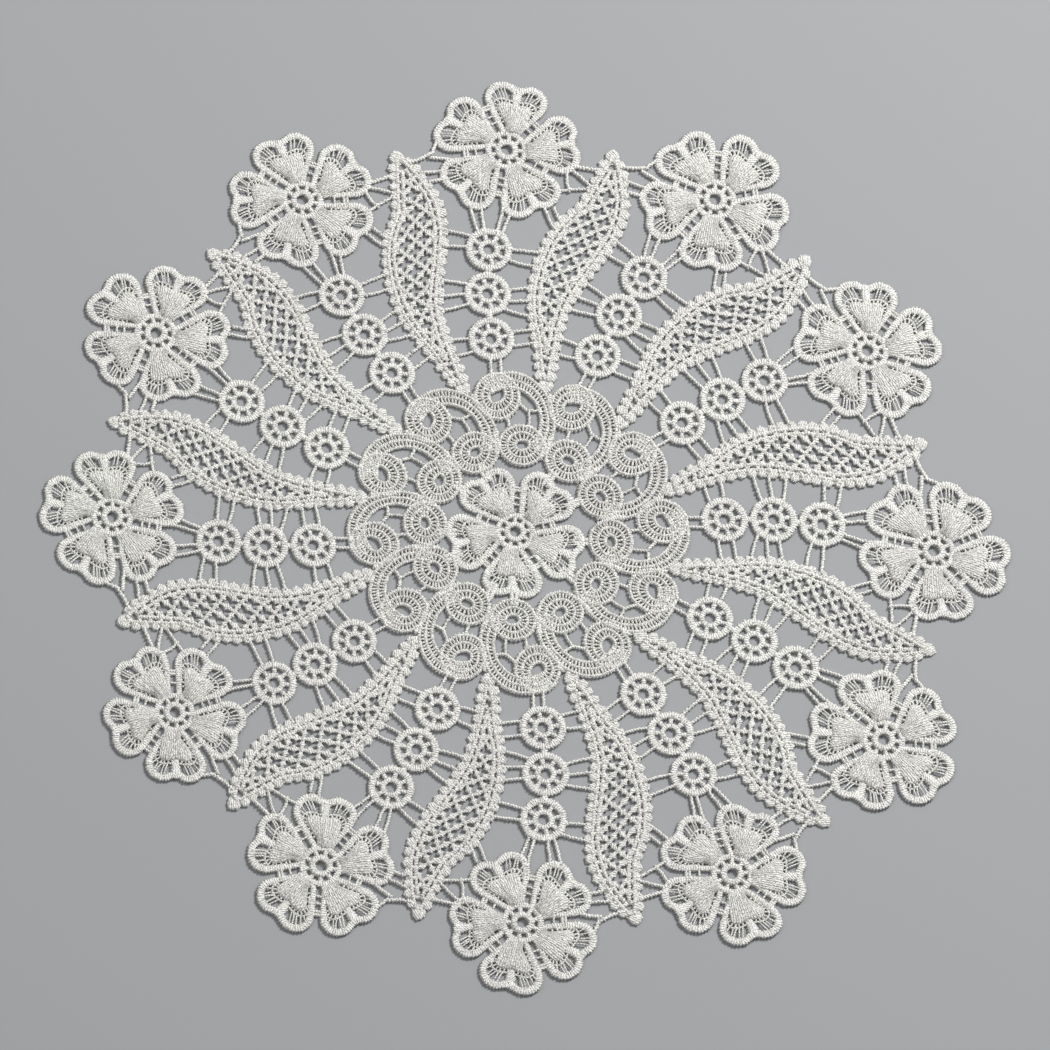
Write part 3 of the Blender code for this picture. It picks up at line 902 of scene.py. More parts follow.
@dataclass(frozen=True)
class Ribbon:
    """A band between two ovals, over a range of angles.

    A rib is a share of the way from the near oval to the far one. The stitches
    reach past the first or the last rib by the overhangs.
    """

    near: Oval
    far: Oval
    first: float
    last: float
    ribs: tuple[float, float, float]
    near_overhang: float = 0.0
    far_overhang: float = 0.0

    @property
    def closed(self) -> bool:
        """Whether the band runs all the way round."""
        return self.last - self.first == 360.0

    def angles(self, count: int) -> Array:
        """Even angles from the first to the last, which a closed band leaves out."""
        return np.linspace(self.first, self.last, count)[:count - self.closed]

    def points(self, angles: Array, share: float) -> Array:
        """Points at a share of the way between the ovals, by the same angle on both."""
        return (oval_points(self.near, angles - self.near.turn) * (1.0 - share)
                + oval_points(self.far, angles) * share)

    def rungs(self, pitch: float) -> list[Array]:
        """Paths of the stitches between neighbouring ribs, about a pitch apart."""
        ribs = list(self.ribs)
        ribs[0] -= self.near_overhang
        ribs[-1] += self.far_overhang
        paths = []
        for low, high in zip(ribs, ribs[1:]):
            middle = self.points(np.linspace(self.first, self.last, 90), (low + high) / 2)
            length = np.linalg.norm(np.diff(middle, axis=0), axis=1).sum()
            angles = self.angles(round(length / pitch) + self.closed)
            paths.append(np.stack([self.points(angles, low + (high - low) * step)
                                   for step in np.linspace(0.0, 1.0, 3)], axis=1))
        return paths


@dataclass(frozen=True)
class Scroll:
    """An oval ribbon that ends in two curls, with three ribs and rows of stitches."""

    ribbons: tuple[Ribbon, ...] = (
        Ribbon(Oval(-1.5, 46.0, 17.5, 21.0), Oval(-1.5, 47.0, 11.3, 12.6), -48.0, 128.0,
               (0.10, 0.50, 0.90), near_overhang=0.12),
        Ribbon(Oval(-6.6, 56.8, 2.9, 1.8, 50.0), Oval(-6.5, 56.3, 9.0, 10.0), 0.0, 360.0,
               (0.14, 0.54, 0.91), far_overhang=0.12),
        Ribbon(Oval(2.7, 36.3, 1.9, 1.1, 8.0), Oval(2.5, 36.2, 9.3, 8.7), 0.0, 360.0,
               (0.14, 0.54, 0.91), far_overhang=0.12),
    )
    rib_half: float = 0.74
    rib_height: float = 1.45
    rib_step: float = 0.62
    stitch_half: float = 0.47
    stitch_height: float = 1.35
    stitch_pitch: float = 1.38

    def ribs(self) -> list[Block]:
        """The ribs of the ribbon and of both curls."""
        blocks = []
        for ribbon in self.ribbons:
            paths = [spaced(ribbon.points(ribbon.angles(90), share), self.rib_step,
                            ribbon.closed) for share in ribbon.ribs]
            blocks += in_groups(paths, [self.rib_half] * len(paths), self.rib_height,
                                closed=ribbon.closed, notch=0.2, slant=0.3)
        return blocks

    def stitches(self) -> Block:
        """The rows of short stitches between the ribs."""
        paths = [path for ribbon in self.ribbons for path in ribbon.rungs(self.stitch_pitch)]
        return carried(np.concatenate(paths), self.stitch_half, self.stitch_height, profile=SLIM)

    def plan(self) -> list[Array]:
        """Outlines of the ground under the scroll."""
        return [outline for ribbon in self.ribbons for share in ribbon.ribs
                for outline in strips([ribbon.points(ribbon.angles(22), share)],
                                      self.rib_half - 0.1, ribbon.closed)]


@dataclass(frozen=True)
class Leaf:
    """A curved leaf: a knotted edge, a row of eyelets, an inner cord and a net.

    Its midline runs along a straight line from the mat's centre, offset to its
    left by the rows' shift. A point is given by its distance along that line
    and its offset across the midline.
    """

    direction: float = 76.5
    rows: tuple[LeafRow, ...] = (
        LeafRow(59.5, 1.6, 0.9), LeafRow(63.0, 1.9, 3.6), LeafRow(70.0, 3.7, 4.8),
        LeafRow(80.0, 5.4, 6.2), LeafRow(90.0, 7.4, 8.3), LeafRow(100.0, 7.8, 10.1),
        LeafRow(110.0, 5.9, 12.1), LeafRow(120.0, 3.1, 13.5), LeafRow(130.0, -0.4, 13.5),
        LeafRow(140.0, -4.2, 10.8), LeafRow(150.0, -4.8, 8.2), LeafRow(160.0, -4.2, 4.8),
        LeafRow(164.5, -2.9, 1.9),
    )
    knob_radius: float = 2.25
    knob_inset: float = 1.85
    knob_pitch: float = 4.1
    knob_height: float = 1.25
    knob_turn: float = 47.0
    cord_inset: float = 3.3
    inner_inset: float = 5.4
    inner_from: float = 78.0
    inner_to: float = 155.5
    cord_half: float = 0.85
    cord_height: float = 1.3
    cord_step: float = 0.85
    tie_half: float = 1.0
    tie_height: float = 1.2
    ground_step: float = 3.2
    net_from: float = 72.0
    net_to: float = 157.0
    net_pitch: float = 5.5
    net_wander: float = 0.13
    net_halves: tuple[float, ...] = (1.15, 0.8, 0.72, 1.1, 1.8, 1.1, 0.72, 0.8, 1.15)
    net_heights: tuple[float, ...] = (1.3, 1.15, 1.05, 1.2, 1.4, 1.2, 1.05, 1.15, 1.3)

    def lines(self) -> tuple[Array, Array, Array]:
        """Smooth runs of the rows' three columns, by a Catmull-Rom curve."""
        table = np.array(self.rows)
        held = np.concatenate([table[:1], table, table[-1:]])
        t = np.linspace(0.0, 1.0, 16, endpoint=False)[None, :, None]
        a, b, c, d = (held[i:i + len(table) - 1, None] for i in range(4))
        curve = 0.5 * (2 * b + (c - a) * t + (2 * a - 5 * b + 4 * c - d) * t ** 2
                       + (3 * b - a - 3 * c + d) * t ** 3)
        smooth = np.concatenate([curve.reshape(-1, 3), table[-1:]])
        return smooth[:, 0], smooth[:, 1], smooth[:, 2]

    def placed(self, along: Array, across: Array) -> Array:
        """Flat points from the distance along and the offset across the midline."""
        runs, shifts, _ = self.lines()
        offset = np.interp(along, runs, shifts) + across
        return turned(np.stack([along, offset], axis=-1), self.direction)

    def sides(self, inset: float, first: float, last: float) -> list[Array]:
        """Paths along the leaf's left and right side, from the foot to the tip.

        Args:
            inset: distance inside its outline
            first: where they start, along the leaf's line
            last: where they end
        """
        runs, _, halves = self.lines()
        along = np.linspace(first, last, 160)
        half = np.interp(along, runs, halves)
        slope = np.gradient(half, along)
        reach = np.maximum(half - inset * np.sqrt(1.0 + slope ** 2), 0.0)
        return [self.placed(along, sign * reach) for sign in MIRRORS]

    def edge(self) -> list[Block]:
        """The knots along the edge, and the cords and ties round the eyelets."""
        paths = [spaced(side, self.knob_pitch, even=False)
                 for side in self.sides(self.knob_inset, 62.5, 162.5)]
        ends = self.placed(np.array([61.0, 163.3]), np.zeros(2))
        centres = np.concatenate(paths + [ends])
        draw = np.random.default_rng(len(centres))
        radii = self.knob_radius * draw.uniform(0.84, 1.08, len(centres))
        strayed = centres + draw.normal(0.0, 0.16, centres.shape)
        turns = np.arange(len(centres)) * self.knob_turn
        blocks = [knobs(strayed, radii, self.knob_height, turns)]
        for inset, first, last in ((self.cord_inset, 64.5, 161.0),
                                   (self.inner_inset, self.inner_from, self.inner_to)):
            paths = [spaced(side, self.cord_step) for side in self.sides(inset, first, last)]
            blocks += in_groups(paths, [self.cord_half] * 2, self.cord_height, notch=0.22,
                                slant=0.4)
        return blocks + [carried(self.tie_paths(), self.tie_half, self.tie_height, notch=0.12)]

    def tie_paths(self) -> Array:
        """Short bands between the eyelets, about a knot's pitch apart."""
        ties = []
        for outer, inner in zip(self.sides(self.cord_inset - 0.6, 66.0, 160.5),
                                self.sides(self.inner_inset + 0.4, 66.0, 160.5)):
            outer = spaced(outer, self.knob_pitch, even=False)
            near = np.linalg.norm(inner[None] - outer[:, None], axis=2).argmin(axis=1)
            ties.append(between(outer, inner[near], np.linspace(0.0, 1.0, 3)))
        return np.concatenate(ties)

    def net(self) -> Block:
        """The net inside: a diagonal grid of cords, each with a knot at mid-length."""
        runs, _, halves = self.lines()
        half_step = self.net_pitch / math.sqrt(2.0)
        i, j = np.meshgrid(np.arange(0, 30), np.arange(-4, 5), indexing="ij")
        even = (i + j) % 2 == 0
        i, j = i[even], j[even]
        starts = np.concatenate([np.stack([i, j], axis=1)] * 2)
        ends = np.concatenate([np.stack([i + 1, j + step], axis=1) for step in (1, -1)])
        start, end = (self.wandered(nodes) * half_step + (self.net_from, 0.0)
                      for nodes in (starts, ends))

        def room(points: Array) -> Array:
            """Half the net's width at some points."""
            return np.interp(points[:, 0], runs, halves) - self.inner_inset

        def in_reach(points: Array) -> Array:
            """Which points the net covers."""
            return (np.abs(points[:, 1]) < room(points)) & (points[:, 0] < self.net_to)

        kept = in_reach(start) | in_reach(end)
        start, end = start[kept], end[kept]
        for points in (start, end):
            limit = np.maximum(room(points) + 0.3, 0.0)
            points[:, 1] = np.clip(points[:, 1], -limit, limit)
        flat = between(start, end, np.linspace(0.0, 1.0, 9))
        return carried(self.placed(flat[..., 0], flat[..., 1]), np.array(self.net_halves),
                       np.array(self.net_heights), profile=BANDED, notch=0.05)

    def wandered(self, nodes: Array) -> Array:
        """The net's nodes, each moved by an angle that grows with its row and column."""
        angle = 2.4 * nodes[:, :1] + 4.1 * nodes[:, 1:]
        return nodes + self.net_wander * np.concatenate([np.sin(angle), np.cos(angle)], axis=1)

    def plan(self) -> list[Array]:
        """Outlines of the ground under the leaf's edge."""
        outlines = []
        for outer, inner in zip(self.sides(2.5, 61.5, 163.0),
                                self.sides(self.inner_inset, self.inner_from, self.inner_to)):
            outlines += strips([spaced(outer, self.ground_step)], 1.3)
            outlines += strips([spaced(inner, self.ground_step)], 0.6)
        foot = self.placed(np.array([60.5, 66.0]), np.zeros(2))
        tip = self.placed(np.array([159.0, 164.0]), np.zeros(2))
        return outlines + strips(self.tie_paths(), 0.9) + strips([foot], 1.6) + strips([tip], 2.0)


@dataclass(frozen=True)
class Bars:
    """The thin twisted bars that tie the motifs together."""

    rows: tuple[Bar, ...] = (
        # scroll to the first disc
        Bar(-8.6, 64.0, -8.7, 73.0, 1.5), Bar(-4.6, 64.5, -4.7, 74.0, 1.5),
        # discs to the leaf on their left
        Bar(-15.0, 80.3, -25.5, 79.3, 1.6), Bar(-14.5, 75.3, -23.0, 73.0, 1.5),
        Bar(-16.0, 103.2, -27.0, 104.8, 1.5), Bar(-16.5, 99.1, -28.0, 97.8, 1.5),
        Bar(-15.5, 95.5, -27.0, 92.1, 1.5), Bar(-14.5, 123.4, -25.5, 125.8, 1.5),
        Bar(-15.5, 119.0, -26.0, 119.4, 1.5),
        # discs to the leaf on their right
        Bar(-1.0, 83.3, 8.0, 84.5, 1.5), Bar(-1.0, 77.7, 9.0, 79.3, 1.5),
        Bar(-2.0, 100.8, 7.0, 101.9, 1.5), Bar(-1.5, 96.4, 7.0, 96.9, 1.5),
        Bar(-3.5, 93.0, 7.5, 90.1, 1.5), Bar(-1.0, 118.1, 12.0, 117.0, 1.5),
        Bar(-1.5, 113.9, 10.5, 111.2, 1.5),
        # last disc to the rim flower
        Bar(-11.8, 124.0, -15.0, 136.0, 1.5), Bar(-9.8, 125.0, -10.6, 136.5, 1.5),
        Bar(-5.0, 125.0, -2.0, 137.0, 1.5), Bar(-2.9, 124.0, 1.0, 133.5, 1.5),
        # rim flower to the leaf on its right
        Bar(14.3, 136.0, 17.2, 128.0, 1.5), Bar(17.8, 136.0, 20.6, 129.0, 1.5),
        Bar(18.5, 142.9, 31.0, 143.6, 1.5), Bar(23.3, 152.0, 24.1, 142.5, 1.5),
        Bar(23.5, 153.0, 33.0, 144.2, 1.5), Bar(25.0, 153.6, 36.0, 151.4, 1.8),
        # rim flower to the leaf on its left
        Bar(-26.6, 163.8, -29.3, 158.0, 1.8), Bar(-29.3, 158.4, -38.0, 154.4, 1.8),
        Bar(-20.5, 155.2, -30.0, 156.6, 1.8), Bar(-24.0, 151.2, -34.0, 150.2, 1.5),
        Bar(-24.5, 147.4, -30.5, 146.6, 1.8),
        # inside the scroll
        Bar(1.2, 54.6, 5.6, 50.6, 1.6), Bar(5.5, 51.2, 5.2, 43.0, 1.3),
        Bar(5.2, 50.6, 10.5, 51.0, 1.5), Bar(-2.8, 48.5, -2.2, 43.5, 1.4),
        # scroll to the foot of the leaf and to the next scroll
        Bar(13.2, 54.0, 14.6, 57.0, 2.8), Bar(14.2, 40.0, 11.4, 32.6, 2.8),
    )
    height: float = 1.3
    bow: float = 0.35
    step: float = 1.6
    notch: float = 0.34

    def paths(self) -> list[Array]:
        """Middles of the bars: straight, with a slight bow that differs from bar to bar."""
        paths = []
        for number, row in enumerate(self.rows):
            start, end = np.array([row.x0, row.y0]), np.array([row.x1, row.y1])
            length = float(np.linalg.norm(end - start))
            share = np.linspace(0.0, 1.0, 2 * max(2, round(length / self.step)) + 1)[:, None]
            normal = np.array([start[1] - end[1], end[0] - start[0]]) / length
            bow = self.bow * math.sin(2.4 * number)
            paths.append(start * (1.0 - share) + end * share
                         + normal * bow * np.sin(np.pi * share))
        return paths

    def stitched(self) -> list[Block]:
        """Every bar of a sector as a twisted cord."""
        return in_groups(self.paths(), [row.width / 2 - 0.1 for row in self.rows], self.height,
                         notch=self.notch, slant=0.3, twist=True)

    def plan(self) -> list[Array]:
        """Outlines of the ground under the bars."""
        return [outline for path, row in zip(self.paths(), self.rows)
                for outline in strips([path[::2]], 0.3 * row.width)]


@dataclass(frozen=True)
class CentreTies:
    """Short bars from the centre flower to the scrolls around it."""

    centre: tuple[float, float] = (-1.0, 0.0)
    directions: tuple[float, ...] = (28.0, 58.0, 115.0, 140.0, 182.0, 203.0, 248.0, 268.0,
                                     320.0, 354.0)
    start: float = 23.0
    end: float = 30.0
    width: float = 3.4

    def paths(self) -> Array:
        """Middles of two cords side by side for each tie."""
        out = np.linspace(self.start, self.end, 9)
        cords = [turned(np.stack([out, np.full(9, side * self.width / 4)], axis=1), direction)
                 for direction in self.directions for side in MIRRORS]
        return np.stack(cords) + np.array(self.centre)

    def stitched(self) -> list[Block]:
        """The ties as twisted cords."""
        return [carried(self.paths(), self.width / 4 + 0.1, 1.3, notch=0.16, twist=True)]

    def plan(self) -> list[Array]:
        """Outlines of the ground under the ties."""
        return strips(self.paths()[:, ::4], 0.7)


@dataclass(frozen=True)
class Ground:
    """The flat layer of thread under every motif, with its gaps left open."""

    height: float = 0.55
    weld: float = 1e-3

    def sheet(self, outlines: list[Array]) -> Block:
        """The merged outlines as a thin closed sheet.

        A triangulation lays the outlines over each other, every triangle that
        lies in one of them is kept, and the kept ones get an underside and
        upright edges.

        Args:
            outlines: flat closed outlines that may overlap

        Returns:
            The sheet as one block.
        """
        corners = [Vector(point) for outline in outlines for point in self.leftwards(outline)]
        firsts = np.concatenate([[0], np.cumsum([len(outline) for outline in outlines])])
        faces = [list(range(first, last)) for first, last in zip(firsts, firsts[1:])]
        flat, _, found, _, _, owners = delaunay_2d_cdt(corners, [], faces, 1, self.weld)
        tris = np.array([tri for tri, inside in zip(found, owners) if inside])
        flat = np.array([tuple(point) for point in flat])
        count = len(flat)
        edges = np.concatenate([tris[:, [0, 1]], tris[:, [1, 2]], tris[:, [2, 0]]])
        ahead, back = edges @ (count, 1), edges[:, ::-1] @ (count, 1)
        rim = edges[~np.isin(ahead, back)]
        points = np.concatenate([np.column_stack([flat, np.full(count, level)])
                                 for level in (self.height, 0.0)])
        walls = np.stack([rim[:, 1], rim[:, 0], rim[:, 0] + count, rim[:, 1] + count], axis=1)
        tris = np.concatenate([tris, tris[:, ::-1] + count])
        used, places = np.unique(np.concatenate([tris.ravel(), walls.ravel()]),
                                 return_inverse=True)
        points, tris, walls = (points[used], places[:tris.size].reshape(-1, 3),
                               places[tris.size:].reshape(-1, 4))
        flat = points[:, :2]
        return Block(points, walls, flat[walls], tris, flat[tris])

    @staticmethod
    def leftwards(outline: Array) -> Array:
        """A closed outline turned to run counter-clockwise, by the sign of its area."""
        x, y = outline[:, 0], outline[:, 1]
        area = float(np.sum(x * np.roll(y, -1) - np.roll(x, -1) * y))
        return outline if area > 0.0 else outline[::-1]


def feed(tree: Tree, node: bpy.types.Node, inputs: dict) -> bpy.types.Node:
    """Give a node its inputs.

    Args:
        tree: the tree the node is in
        node: the node
        inputs: a value or another node's output socket for each input's name or number

    Returns:
        The same node.
    """
    for name, value in inputs.items():
        if isinstance(value, bpy.types.NodeSocket):
            tree.links.new(value, node.inputs[name])
        else:
            node.inputs[name].default_value = value
    return node


@dataclass(frozen=True)
class ThreadFinish:
    """Looks of one kind of stitching: the pitch and slant of its threads, their own colour, and the
    painted shade in the crevices between them.
    """

    finish: Finish
    pitch: float
    slant: float
    wander: float
    row: float
    gap: float
    tuft: float
    depth: float
    roughness: float
    sheen: float = 0.25
    light: Colour = (0.89, 0.88, 0.84)
    # Painted shade: the darker colour given to the dips and gaps between the threads, where shade
    # falls.
    painted_crevice_shade: Colour = (0.37, 0.365, 0.34)

    def material(self, relief: Tree, tint: Tree) -> bpy.types.Material:
        """The finish as a material.

        Args:
            relief: node group of the threads' rows
            tint: node group of the broad changes of tone

        Returns:
            The material, with its constant values on the shader's own sockets.
        """
        material = bpy.data.materials.new(f"thread_{self.finish.value}")
        material.use_nodes = True
        tree = material.node_tree
        new = tree.nodes.new
        shader = tree.nodes["Principled BSDF"]
        place = new("ShaderNodeUVMap")
        place.uv_map = "stitch"
        solid = new("ShaderNodeTexCoord").outputs["Object"]
        rows, broad = new("ShaderNodeGroup"), new("ShaderNodeGroup")
        rows.node_tree, broad.node_tree = relief, tint
        feed(tree, rows, {"Place": place.outputs["UV"], "Grain place": solid,
                          "Pitch": self.pitch, "Slant": self.slant, "Wander": self.wander,
                          "Row": self.row, "Gap": self.gap, "Tuft": self.tuft})
        feed(tree, broad, {"Place": solid})
        tone, soft = new("ShaderNodeMix"), new("ShaderNodeMix")
        tone.data_type = soft.data_type = "RGBA"
        soft.blend_type = "MULTIPLY"
        # Painted shade: the base colour runs from the darker colour in the dips and gaps between
        # threads to their own colour on the crests.
        thread = rows.outputs["Crest and painted shade"]
        feed(tree, tone, {"A": (*self.painted_crevice_shade, 1.0), "B": (*self.light, 1.0), "Factor": thread})
        feed(tree, soft, {"Factor": 1.0, "A": tone.outputs["Result"], "B": broad.outputs["Tone"]})
        gloss = feed(tree, new("ShaderNodeMapRange"), {
            "To Min": self.roughness + 0.15, "To Max": self.roughness, "Value": thread})
        bump = feed(tree, new("ShaderNodeBump"), {
            "Distance": self.depth * MM, "Strength": 1.0, "Height": rows.outputs["Height"]})
        feed(tree, shader, {"Sheen Weight": self.sheen, "Sheen Roughness": 0.4,
                            "Specular IOR Level": 0.45, "Base Color": soft.outputs["Result"],
                            "Roughness": gloss.outputs["Result"],
                            "Normal": bump.outputs["Normal"]})
        return material


class ThreadGroups:
    """Builds the node groups that every finish shares."""

    @staticmethod
    def empty(name: str, inputs: dict[str, str], outputs: dict[str, str]) -> tuple:
        """A node group with its sockets.

        Args:
            name: the group's name
            inputs: socket type of each named input
            outputs: socket type of each named output

        Returns:
            The group, its input node's outputs and its output node.
        """
        group = bpy.data.node_groups.new(name, "ShaderNodeTree")
        for direction, sockets in (("INPUT", inputs), ("OUTPUT", outputs)):
            for socket, kind in sockets.items():
                group.interface.new_socket(name=socket, in_out=direction, socket_type=kind)
        source = group.nodes.new("NodeGroupInput")
        return group, source.outputs, group.nodes.new("NodeGroupOutput")

    @staticmethod
    def noise(group: Tree, place: bpy.types.NodeSocket, **values: float) -> bpy.types.NodeSocket:
        """A noise texture in a group: its place, and its own inputs in lower case."""
        named = {name.capitalize(): value for name, value in values.items()}
        node = feed(group, group.nodes.new("ShaderNodeTexNoise"), {"Vector": place, **named})
        return node.outputs["Fac"]

    @classmethod
    def relief(cls) -> Tree:
        """Threads side by side: a rounded wave along the UV map, with fine grain.

        The wave's phase is the distance along plus the slant times the distance
        around, plus a wandering noise, over the pitch. Each thread dips at the
        ends of its stitches, a row apart, and neighbours dip in turns. Tufts of
        about a thread's width raise and lower it unevenly. The second output is
        high on the crests and low in the dips and gaps, and the materials darken
        their colour by it there: painted shade in the crevices.
        """
        number, vector = "NodeSocketFloat", "NodeSocketVector"
        group, source, result = cls.empty(
            "thread_rows",
            {"Place": vector, "Grain place": vector, "Pitch": number, "Slant": number,
             "Wander": number, "Row": number, "Gap": number, "Tuft": number},
            {"Height": number, "Crest and painted shade": number})

        def math_of(operation: str, *values) -> bpy.types.NodeSocket:
            """Output of a math node whose inputs are numbers or sockets."""
            node = group.nodes.new("ShaderNodeMath")
            node.operation = operation
            return feed(group, node, dict(enumerate(values))).outputs["Value"]

        split = feed(group, group.nodes.new("ShaderNodeSeparateXYZ"),
                     {"Vector": source["Place"]}).outputs
        place = source["Grain place"]
        wander = cls.noise(group, place, scale=900.0, detail=2.0)
        fine = cls.noise(group, place, scale=2600.0, detail=3.0)
        tufts = cls.noise(group, place, scale=1150.0, detail=1.5, roughness=0.7, distortion=0.6)
        stray = math_of("MULTIPLY", math_of("SUBTRACT", wander, 0.5), source["Wander"])
        along = math_of("ADD", split["X"], math_of("MULTIPLY", split["Y"], source["Slant"]))
        phase = math_of("DIVIDE", math_of("ADD", along, stray), source["Pitch"])
        wave = math_of("SINE", math_of("MULTIPLY", phase, 2 * math.pi))
        rounded = math_of("POWER", math_of("MULTIPLY_ADD", wave, 0.5, 0.5), 0.7)
        column = math_of("MULTIPLY", math_of("FLOOR", phase), 0.618)
        row = math_of("ADD", math_of("DIVIDE", split["Y"], source["Row"]), column)
        stitch = math_of("ABSOLUTE", math_of("SINE", math_of("MULTIPLY", row, math.pi)))
        dip = math_of("SUBTRACT", 1.0, math_of("POWER", stitch, 0.4))
        rest = math_of("SUBTRACT", 1.0, math_of("MULTIPLY", dip, source["Gap"]))
        rounded = math_of("MULTIPLY", rounded, rest)
        tuft = math_of("SUBTRACT", tufts, 0.5)
        rounded = math_of("MULTIPLY_ADD", tuft, source["Tuft"], rounded)
        grain = math_of("SUBTRACT", fine, 0.5)
        # Painted shade: this factor is low in the dips and gaps, where the materials darken the
        # colour.
        thread = math_of("MULTIPLY_ADD", grain, 0.8, rounded)
        feed(group, result, {"Height": math_of("MULTIPLY_ADD", grain, 0.9, rounded),
                             "Crest and painted shade": math_of("MULTIPLY_ADD", thread, 0.85, 0.28)})
        return group

    @classmethod
    def tint(cls) -> Tree:
        """Broad, faint changes of tone over the mat, from cream to a cooler grey."""
        group, source, result = cls.empty("thread_tone", {"Place": "NodeSocketVector"},
                                          {"Tone": "NodeSocketColor"})
        ramp = group.nodes.new("ShaderNodeValToRGB")
        for element, position, colour in zip(ramp.color_ramp.elements, (0.35, 0.65), (
                (0.95, 0.935, 0.93, 1.0), (1.0, 1.0, 0.985, 1.0))):
            element.position, element.color = position, colour
        feed(group, ramp, {"Fac": cls.noise(group, source["Place"], scale=14.0, detail=2.0)})
        feed(group, result, {"Tone": ramp.outputs["Color"]})
        return group


@dataclass(frozen=True)
class Placemat:
    """The whole mat, piece by piece."""

    rim_flower: Flower = Flower(centre=(0.0, FLOWER_CIRCLE), first_petal=78.4)
    centre_flower: Flower = Flower(centre=(-1.0, 0.0), first_petal=49.6, size=0.94)
    discs: DiscChain = DiscChain()
    scroll: Scroll = Scroll()
    leaf: Leaf = Leaf()
    bars: Bars = Bars()
    ties: CentreTies = CentreTies()
    ground: Ground = Ground()
    cut_size: tuple[float, float] = (0.379, 0.378)

    def build(self, threads: dict[Finish, bpy.types.Material]) -> None:
        """Args:
            threads: the material of each finish
        """
        rim, centre = self.rim_flower, self.centre_flower
        sector = (self.scroll.plan() + self.discs.plan() + self.leaf.plan() + self.bars.plan()
                  + rim.plan())
        grounds = [laid(self.ground.sheet(sector), REPEATS, 0.0),
                   laid(self.ground.sheet(centre.plan() + self.ties.plan()), 1, 0.0)]
        ground = piece_of("ground", grounds, threads[Finish.GROUND])
        rows = (
            ("petal_pads", [rim.pads()], [centre.pads()], Finish.SATIN),
            ("petal_rims", rim.rims(), centre.rims(), Finish.BAND),
            ("petal_threads", rim.threads(), centre.threads() + self.ties.stitched(),
             Finish.CORD),
            ("discs", self.discs.stitched(), [], Finish.BAND),
            ("scroll_ribs", self.scroll.ribs(), [], Finish.BAND),
            ("scroll_stitches", [self.scroll.stitches()], [], Finish.CORD),
            ("leaf_edges", self.leaf.edge(), [], Finish.NET),
            ("leaf_nets", [self.leaf.net()], [], Finish.NET),
            ("bars", self.bars.stitched(), [], Finish.CORD),
        )
        pieces = [piece_of(name, [laid(block, REPEATS) for block in repeated]
                           + [laid(block) for block in single], threads[finish])
                  for name, repeated, single, finish in rows]


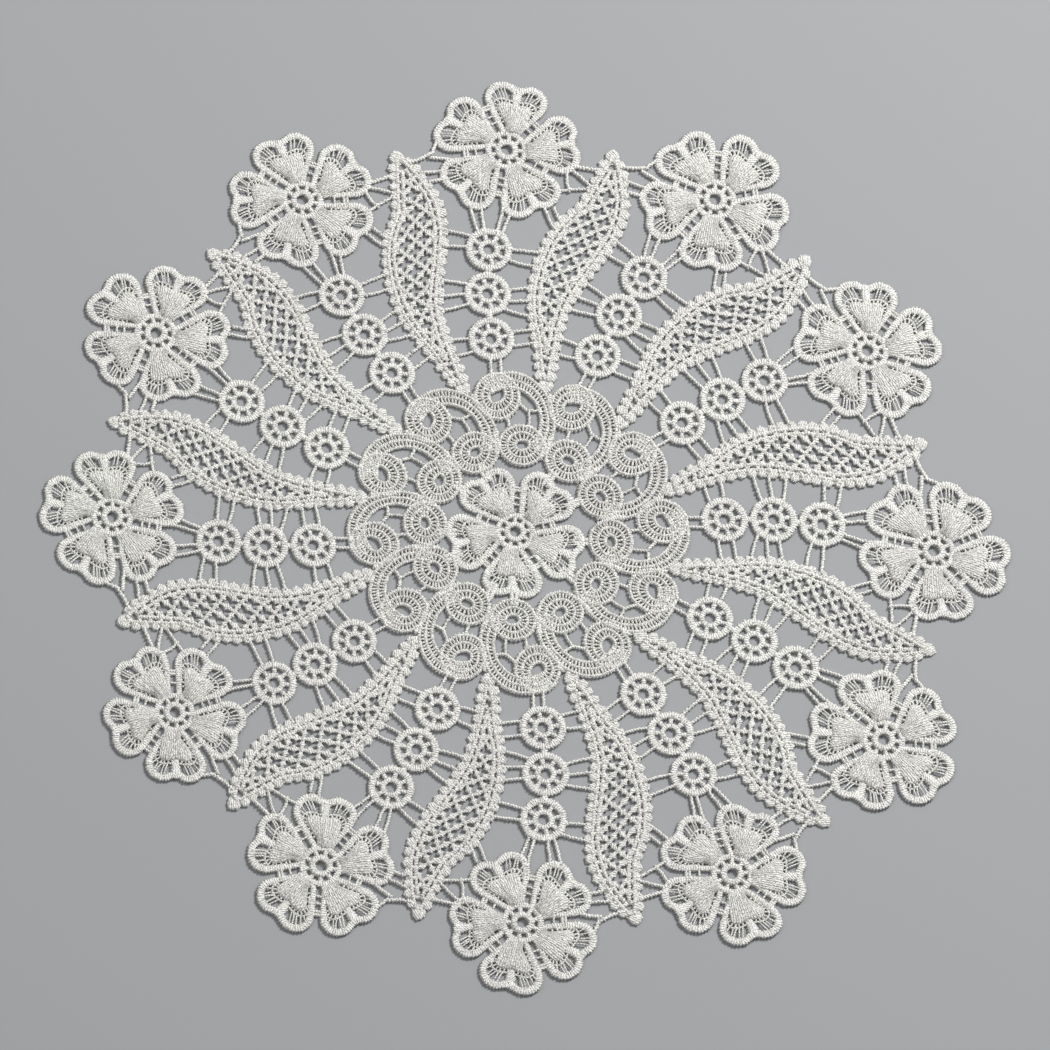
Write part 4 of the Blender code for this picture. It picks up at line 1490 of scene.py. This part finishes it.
@dataclass(frozen=True)
class Studio:
    """The floor, the light and the camera at the photograph's angle."""

    floor_side: float = 6.0
    floor_drop: float = 0.0002
    floor_tone: Colour = (0.285, 0.29, 0.295)
    sky_tone: Colour = (0.95, 0.97, 1.0)
    sky_strength: float = 0.35
    distance: float = 5.0
    heading: float = 21.01
    elevation: float = 67.27
    roll: float = -21.15
    pixels_per_mm: float = 2.5888
    frame_pixels: float = 1050.0
    centre_pixel: tuple[float, float] = (517.3, 533.0)
    sensor: float = 36.0

    def floor(self) -> None:
        """A plain pale floor just under the mat."""
        half = self.floor_side / 2
        mesh = bpy.data.meshes.new("floor")
        corners = [(-half, -half), (half, -half), (half, half), (-half, half)]
        mesh.from_pydata([(x, y, -self.floor_drop) for x, y in corners], [], [(0, 1, 2, 3)])
        material = bpy.data.materials.new("floor")
        material.use_nodes = True
        tree = material.node_tree
        feed(tree, tree.nodes["Principled BSDF"],
             {"Base Color": (*self.floor_tone, 1.0), "Roughness": 0.9})
        mesh.materials.append(material)
        floor = bpy.data.objects.new("floor", mesh)
        bpy.context.scene.collection.objects.link(floor)

    def light(self, name: str, place: tuple[float, float, float], size: float,
              power: float) -> None:
        """A soft square light that faces the mat.

        Args:
            name: the light's name
            place: where it stands, in metres
            size: its side
            power: in watts
        """
        data = bpy.data.lights.new(name, "AREA")
        data.size, data.energy = size, power
        lamp = bpy.data.objects.new(name, data)
        lamp.location = place
        lamp.rotation_euler = Vector(place).to_track_quat("Z", "Y").to_euler()
        bpy.context.scene.collection.objects.link(lamp)

    def camera(self) -> None:
        """The camera: a long lens that looks down at the mat, rolled as it was held."""
        heading, tilt, roll = map(math.radians, (self.heading, self.elevation, self.roll))
        ahead = Vector((math.sin(heading), math.cos(heading), 0.0))
        right = Vector((math.cos(heading), -math.sin(heading), 0.0))
        up = ahead * math.sin(tilt) + Vector((0.0, 0.0, math.cos(tilt)))
        back = Vector((0.0, 0.0, math.sin(tilt))) - ahead * math.cos(tilt)
        turned_right = right * math.cos(roll) - up * math.sin(roll)
        turned_up = right * math.sin(roll) + up * math.cos(roll)
        metre_per_pixel = MM / self.pixels_per_mm
        middle = self.frame_pixels / 2
        aim = (Vector((-MAT_MIDDLE[0] * MM, -MAT_MIDDLE[1] * MM, 0.0))
               + turned_right * (middle - self.centre_pixel[0]) * metre_per_pixel
               + turned_up * (self.centre_pixel[1] - middle) * metre_per_pixel)
        data = bpy.data.cameras.new("camera")
        data.sensor_width = self.sensor
        data.lens = (self.pixels_per_mm / MM * self.distance / self.frame_pixels * self.sensor)
        data.clip_end = 50.0
        camera = bpy.data.objects.new("camera", data)
        axes = Matrix((turned_right, turned_up, back)).transposed().to_4x4()
        camera.matrix_world = Matrix.Translation(aim + back * self.distance) @ axes
        bpy.context.scene.collection.objects.link(camera)
        bpy.context.scene.camera = camera

    def build(self) -> None:
        """Set the stage."""
        self.camera()
        self.floor()
        self.light("key", (1.15, 1.15, 1.6), 0.55, 64.0)
        self.light("fill", (-1.8, -0.4, 2.0), 1.6, 16.0)
        world = bpy.data.worlds.new("studio")
        world.use_nodes = True
        feed(world.node_tree, world.node_tree.nodes["Background"],
             {"Color": (*self.sky_tone, 1.0), "Strength": self.sky_strength})
        bpy.context.scene.world = world
        bpy.context.scene.view_settings.view_transform = "Standard"


# Every finish's darker colour is painted shade in the crevices between its threads; the satin's is
# the darkest.
FINISHES = (
    ThreadFinish(Finish.SATIN, pitch=0.92, slant=0.0, wander=1.2, row=2.4, gap=0.9, tuft=2.4,
                 depth=0.34, roughness=0.42, light=(0.88, 0.87, 0.83),
                 painted_crevice_shade=(0.31, 0.305, 0.285)),
    ThreadFinish(Finish.BAND, pitch=0.95, slant=0.2, wander=1.0, row=1.7, gap=0.5, tuft=2.4,
                 depth=0.28, roughness=0.50),
    ThreadFinish(Finish.CORD, pitch=1.1, slant=0.9, wander=0.8, row=3.0, gap=0.2, tuft=1.6,
                 depth=0.24, roughness=0.50),
    ThreadFinish(Finish.NET, pitch=1.1, slant=0.7, wander=1.2, row=1.6, gap=0.6, tuft=2.2,
                 depth=0.28, roughness=0.52),
    # The ground is coloured darker than the threads' own colour: painted shade where it lies under
    # the motifs. Its darker crevice colour is painted shade too.
    ThreadFinish(Finish.GROUND, pitch=1.2, slant=0.5, wander=1.0, row=2.0, gap=0.5, tuft=1.5,
                 depth=0.20, roughness=0.60, sheen=0.2, light=(0.72, 0.71, 0.68),
                 painted_crevice_shade=(0.38, 0.375, 0.35)),
)


def main() -> None:
    """Build the stage, the threads and the mat."""
    logging.basicConfig(level=logging.INFO, format="%(message)s")
    Studio().build()
    relief, tint = ThreadGroups.relief(), ThreadGroups.tint()
    threads = {look.finish: look.material(relief, tint) for look in FINISHES}
    Placemat().build(threads)


if __name__ == "__main__":
    main()
